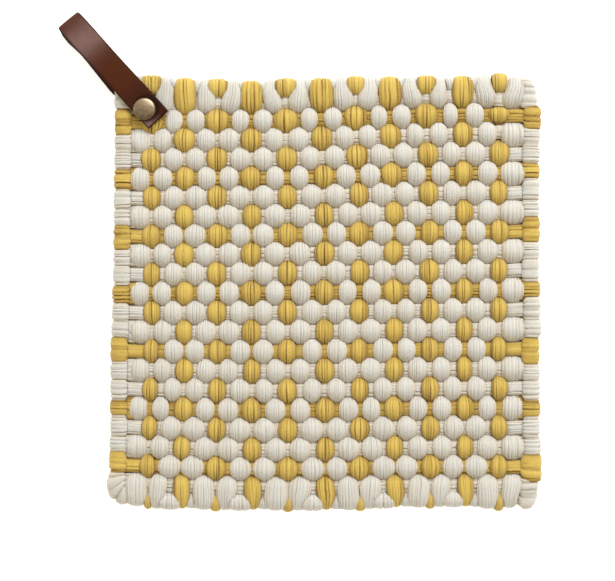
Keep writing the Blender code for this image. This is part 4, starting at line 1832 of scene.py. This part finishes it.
@dataclass(frozen=True)
class FloorFinish:
    """A plain pale matte table, lit a little from within like a photographer's light table."""

    colour: Colour = (0.93, 0.93, 0.93)
    roughness: float = 0.9
    glow: float = 0.62

    def material(self, name: str) -> bpy.types.Material:
        """Makes the material.

        Args:
            name: The material's name.

        Returns:
            The material.
        """
        values = {
            "Base Color": self.colour,
            "Roughness": self.roughness,
            "Specular IOR Level": 0.0,
            "Emission Color": self.colour,
            "Emission Strength": self.glow,
        }
        return start_material(name, values)[0]


@dataclass
class HangingLoop:
    """The leather strap, folded in half, with softly rounded edges."""

    frame: StrapFrame
    flat_length: float = 125.6
    stations: int = 150
    ring: int = 40
    squareness: float = 0.32
    side_roundness: float = 0.5
    edge_wave: float = 0.10
    edge_wave_length: float = 7.3
    edge_proud: float = 0.08
    end_thinning: float = 0.25
    end_reach: float = 0.5
    fold_rounding: float = 0.30
    fold_places: tuple[float, float] = (1.2, -1.1)
    fold_tilt: float = 0.30
    tilt_places: tuple[float, float] = (12.0, 0.0)

    # The painted sheen: beside the fold, and on the left of the tail past the rivet, where the leather faces
    # the light.
    sheen_middle: float = 12.0
    sheen_spread: float = 8.0
    tail_sheen_start: float = 1.0
    tail_sheen_reach: float = 4.0
    tail_sheen_left: float = 0.3

    # The dark places: the darker rims, and painted shade in a band before the rivet, on the tail's right side
    # and as the cap's shadow round the rivet.
    rim_start: float = 0.86
    rim_reach: float = 0.8
    shade_middle: float = 49.0
    shade_spread: float = 6.0
    shade_depth: float = 0.42
    right_shade_reach: float = 7.0
    right_shade_side: float = 0.8
    right_shade_depth: float = 0.6
    shadow_ring_inner: float = 5.9
    shadow_ring_outer: float = 7.2
    shadow_ring_depth: float = 0.9

    def cross_section(self) -> tuple[np.ndarray, np.ndarray]:
        """The strap's rounded rectangle.

        Returns:
            How far across and how far out of the thickness each of its points is, from -1 to 1.
        """
        turn = np.linspace(0, math.tau, self.ring, endpoint=False)
        across = np.sign(np.cos(turn)) * np.abs(np.cos(turn)) ** self.side_roundness
        out = np.sign(np.sin(turn)) * np.abs(np.sin(turn)) ** self.squareness
        return across, out

    def route(self) -> np.ndarray:
        """The strap's middle line, with its lowest part on the table.

        Returns:
            Rows of s and z.
        """
        route = smooth_rows(STRAP_ROUTE, self.stations)
        route[:, 1] = np.maximum(route[:, 1], self.frame.thickness / 2)
        return route

    def half_widths(self, route: np.ndarray) -> np.ndarray:
        """The strap's slightly uneven half-width.

        Args:
            route: The rows of its middle line.

        Returns:
            The half-width at each row.
        """
        wave = self.edge_wave * np.sin(path_lengths(route) / self.edge_wave_length)
        half = self.frame.width / 2 + self.edge_proud + wave
        return half - self.fold_rounding * ramp(route[:, 0], *self.fold_places) ** 2

    def surface(self, route: np.ndarray, end_gap: np.ndarray) -> np.ndarray:
        """The strap's surface round its middle line.

        Args:
            route: The rows of its middle line.
            end_gap: How far each row is from the nearer cut end.

        Returns:
            Its points, as rows x points round x 3.
        """
        heading = unit(np.gradient(route, axis=0))
        across, out = self.cross_section()
        on_back = np.arange(self.stations) > np.argmin(route[:, 0])
        drift = np.where(on_back, read_table(STRAP_DRIFT, route[:, 0]), 0.0)
        shape = np.sqrt(np.clip(end_gap / self.end_reach, 0.0, 1.0))
        taper = shape * self.end_thinning + (1 - self.end_thinning)
        offset = out[None, :] * (self.frame.thickness / 2 * taper)[:, None]
        s = route[:, :1] + offset * heading[:, 1:]
        s = s - self.fold_tilt * across[None, :] * ramp(route[:, :1], *self.tilt_places)
        t = drift[:, None] + across[None, :] * self.half_widths(route)[:, None]
        z = np.maximum(route[:, 1:] - offset * heading[:, :1], 0.0)
        x, y = self.frame.place(s, t)
        return np.stack([x, y, z], axis=-1)

    def rim_and_shade_mask(self, route: np.ndarray, end_gap: np.ndarray) -> np.ndarray:
        """How dark each point of the strap is: its darker rims, and painted shade before the rivet, on the
        tail's right side and as the cap's shadow round it.

        Args:
            route: The rows of its middle line.
            end_gap: How far each row is from the nearer cut end.

        Returns:
            The mask, from 0 on the plain face to 1 on the rims.
        """
        place = route[:, :1]
        across = self.cross_section()[0][None, :]
        shade = self.shade_depth * np.exp(-(((place - self.shade_middle) / self.shade_spread) ** 2))
        tail = ramp(place, self.frame.rivet_s - self.right_shade_reach, self.frame.rivet_s)
        right_tail_shade = self.right_shade_depth * tail * ramp(across, 0, -self.right_shade_side)
        rim = np.maximum(ramp(np.abs(across), self.rim_start, 1.0), ramp(end_gap, self.rim_reach, 0)[:, None])
        from_rivet = np.hypot(place - self.frame.rivet_s, across * self.half_widths(route)[:, None])
        cap_shadow = self.shadow_ring_depth * ramp(from_rivet, self.shadow_ring_outer, self.shadow_ring_inner)
        return np.maximum(np.maximum(rim, cap_shadow), np.maximum(shade, right_tail_shade))

    def sheen_mask(self, route: np.ndarray) -> np.ndarray:
        """How much painted sheen each point of the strap has.

        Args:
            route: The rows of its middle line.

        Returns:
            The mask, from 0 where no sheen is painted.
        """
        place = route[:, :1]
        across = self.cross_section()[0][None, :]
        start = self.frame.rivet_s + self.tail_sheen_start
        tail = ramp(place, start, start + self.tail_sheen_reach)
        bend = np.exp(-(((place - self.sheen_middle) / self.sheen_spread) ** 2))
        return bend + tail * np.clip(self.tail_sheen_left + across, 0, 1)

    def build(self, finish: LeatherFinish) -> bpy.types.Object:
        """Makes and dresses the strap.

        Args:
            finish: Its leather.

        Returns:
            The strap.
        """
        route = self.route()
        lengths = path_lengths(route)
        end_gap = np.minimum(lengths, lengths[-1] - lengths)
        # The rim attribute holds the darker rims and the painted shade; the other mask holds the painted
        # sheen.
        masks = {"rim": self.rim_and_shade_mask(route, end_gap), "sheen_and_wear": self.sheen_mask(route)}
        across, out = self.cross_section()
        size = (self.stations, self.ring)
        wide = across * self.frame.width / 2
        hide = np.stack([np.broadcast_to(part, size) for part in (lengths[:, None], wide, out)], axis=-1) * MM
        item = tube_piece("leather_strap", self.surface(route, end_gap), masks, {"hide": hide})
        item.data.materials.append(finish.material("leather_brown"))
        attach(item, BODY)
        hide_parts("leather_loop")
        return item


@dataclass
class Rivet:
    """The domed cap on the face and the post with its round base on the back."""

    frame: StrapFrame
    steps: int = 72
    hub: float = 0.02
    clearance: float = 0.3
    sharpest: float = math.radians(50)

    # The cap.
    cap_radius: float = 5.3
    cap_under: float = 12.2
    cap_top: float = 14.3
    socket_roof: float = 13.5
    dome_steps: int = 16
    dome_reach: float = 0.93
    dome_fall: float = 0.30
    dome_power: float = 2.2
    shoulder_fall: float = 0.14
    shoulder_power: int = 12

    # The post and its base.
    post_radius: float = 1.6
    post_top: float = 13.2
    chamfer: float = 0.2
    base_radius: float = 5.0
    base_middle: float = 0.32

    # Painted highlight on the rim's upper side, and painted light over the dome, brighter the higher up the
    # picture.
    plain_polish: float = 0.05
    uphill_light: float = 0.5
    rim_highlight: float = 0.75
    rim_shares: tuple[float, float] = (0.75, 0.93)
    uphill_reach: float = 0.6

    def cap_profile(self) -> list[tuple[float, float]]:
        """The cap's profile, from the dome's top over its rim into the socket.

        Returns:
            Pairs of radius and height.
        """
        rise = self.cap_top - self.cap_under
        dome = []
        for share in np.linspace(0.0, self.dome_reach, self.dome_steps):
            drop = self.dome_fall * share**self.dome_power + self.shoulder_fall * share**self.shoulder_power
            dome.append((share * self.cap_radius, self.cap_top - drop * rise))
        rim = [(share * self.cap_radius, self.cap_top - drop * rise) for share, drop in CAP_RIM]
        bore = self.post_radius + self.clearance
        socket = [(bore, self.cap_under), (bore, self.socket_roof), (self.hub, self.socket_roof)]
        return dome + rim + socket

    def base_profile(self) -> list[tuple[float, float]]:
        """The post's profile, from its top down to the round base on the back.

        Returns:
            Pairs of radius and height.
        """
        post = [
            (self.hub, self.post_top),
            (self.post_radius - self.chamfer, self.post_top),
            (self.post_radius, self.post_top - self.chamfer),
            (self.post_radius, BASE_PROFILE[0][1]),
        ]
        base = [(share * self.base_radius, height) for share, height in BASE_PROFILE]
        return [*post, *base, (self.hub, self.base_middle)]

    def turned(self, name: str, profile: list[tuple[float, float]], node: str) -> bpy.types.Object:
        """Makes a turned piece on the rivet's axis.

        Args:
            name: The piece's name.
            profile: Pairs of radius and height.
            node: The CAD node that the piece stands for.

        Returns:
            The piece.
        """
        rows = np.array(profile, float)
        turn = -np.linspace(0, math.tau, self.steps, endpoint=False)
        radius, height = rows[:, :1], rows[:, 1:]
        size = (len(rows), self.steps)
        local = np.stack(
            [radius * np.cos(turn), radius * np.sin(turn), np.broadcast_to(height, size)], axis=-1
        )
        centre = self.frame.place(self.frame.rivet_s, self.frame.rivet_t)
        # Painted highlight on the rim's upper side, and painted light and shade across the dome: lighter
        # towards the top of the picture, darker towards the bottom.
        share = np.broadcast_to(radius / self.cap_radius, size)
        uphill = local[..., 1] / self.cap_radius
        rim = ramp(share, *self.rim_shares) * ramp(uphill, -self.uphill_reach, self.uphill_reach)
        wear_and_highlight = self.rim_highlight * rim + self.uphill_light * uphill + self.plain_polish
        item = tube_piece(name, local + np.array([*centre, 0.0]), {"wear_and_highlight": wear_and_highlight}, {"metal": local * MM})
        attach(item, BODY)
        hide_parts(node)
        return item

    def build(self, finish: BrassFinish) -> list[bpy.types.Object]:
        """Makes and dresses the cap and the post.

        Args:
            finish: Their brass.

        Returns:
            Both pieces.
        """
        material = finish.material("brass_aged")
        cap = self.turned("cap_dome", self.cap_profile(), "rivet_cap")
        post = self.turned("post_and_base", self.base_profile(), "rivet_post")
        for item in (cap, post):
            item.data.materials.append(material)
            item.data.set_sharp_from_angle(angle=self.sharpest)
        return [cap, post]


@dataclass
class Studio:
    """The pale table, the soft light and the camera straight above."""

    view_x: float = -10.63
    view_y: float = 1.21
    view_width: float = 290.6
    focus_height: float = 11.0
    lens: float = 85.0
    sensor: float = 36.0
    floor_half: float = 3.0
    floor_drop: float = 0.0002
    ambient: float = 0.79
    room_colour: Colour = (1.0, 0.915, 0.79)
    key_power: float = 24.2
    key_colour: Colour = (0.96, 0.99, 1.05)
    key_size: float = 0.9
    key_place: tuple[float, float, float] = (0.42, 1.16, 1.12)

    def add_floor(self) -> None:
        """Lays the table top just under the part."""
        half = self.floor_half
        corners = ((-half, -half), (half, -half), (half, half), (-half, half))
        mesh = bpy.data.meshes.new("table_top")
        mesh.from_pydata([(x, y, -self.floor_drop) for x, y in corners], [], [(0, 1, 2, 3)])
        floor = bpy.data.objects.new("table_top", mesh)
        bpy.context.scene.collection.objects.link(floor)
        mesh.materials.append(FloorFinish().material("table_white"))

    def add_light(self) -> None:
        """Sets the even light of the room and one large soft lamp above the top edge."""
        world = bpy.data.worlds.new("room_light")
        world.use_nodes = True
        background = world.node_tree.nodes["Background"]
        background.inputs["Color"].default_value = (*self.room_colour, 1.0)
        background.inputs["Strength"].default_value = self.ambient
        bpy.context.scene.world = world
        lamp = bpy.data.lights.new("key_lamp", "AREA")
        lamp.shape = "DISK"
        lamp.size = self.key_size
        lamp.energy = self.key_power
        lamp.color = self.key_colour
        item = bpy.data.objects.new("key_lamp", lamp)
        item.location = self.key_place
        item.rotation_euler = (-Vector(self.key_place)).to_track_quat("-Z", "Y").to_euler()
        bpy.context.scene.collection.objects.link(item)

    def add_camera(self) -> None:
        """Hangs the camera over the middle of the picture."""
        data = bpy.data.cameras.new("view")
        data.lens = self.lens
        data.sensor_width = self.sensor
        item = bpy.data.objects.new("view", data)
        distance = self.view_width * self.lens / self.sensor
        item.location = (self.view_x * MM, self.view_y * MM, (self.focus_height + distance) * MM)
        bpy.context.scene.collection.objects.link(item)
        bpy.context.scene.camera = item

    def build(self) -> None:
        """Makes the whole studio, shown with plain colours."""
        self.add_floor()
        self.add_light()
        self.add_camera()
        bpy.context.scene.view_settings.view_transform = "Standard"


def cotton_finishes() -> dict[Yarn, CottonFinish]:
    """Sets the two cottons' finishes.

    Returns:
        The finish of each cotton.
    """
    # The grooves' and hollows' colours are painted shade; the natural's hollows are warm like light bounced
    # off the mustard.
    return {
        Yarn.NATURAL: CottonFinish(
            lit=(0.600, 0.597, 0.558),
            grooves=(0.40, 0.35, 0.27),
            hollow_shade_colour=(0.58, 0.44, 0.26),
            groove_shade_strength=0.90,
            hollow_shade_strength=0.55,
            tone_spread=0.28,
            softness=0.80,
            soft_reach=1.3,
        ),
        Yarn.MUSTARD: CottonFinish(
            lit=(0.625, 0.458, 0.106),
            grooves=(0.17, 0.070, 0.003),
            hollow_shade_colour=(0.17, 0.068, 0.003),
            groove_shade_strength=0.98,
            hollow_shade_strength=0.85,
            tone_spread=0.50,
            softness=0.15,
            soft_reach=0.4,
        ),
    }


def main() -> None:
    """Builds the pot holder and its studio."""
    logging.basicConfig(level=logging.INFO, format="%(message)s")
    log = logging.getLogger("pot_holder")
    strap_frame = StrapFrame()
    pieces = Weave(Lattice(), Press(strap_frame)).build(cotton_finishes())
    pieces.append(HangingLoop(strap_frame).build(LeatherFinish()))
    pieces += Rivet(strap_frame).build(BrassFinish())
    for piece in pieces:
        log.info("%s: %d faces", piece.name, len(piece.data.polygons))
    Studio().build()


if __name__ == "__main__":
    main()
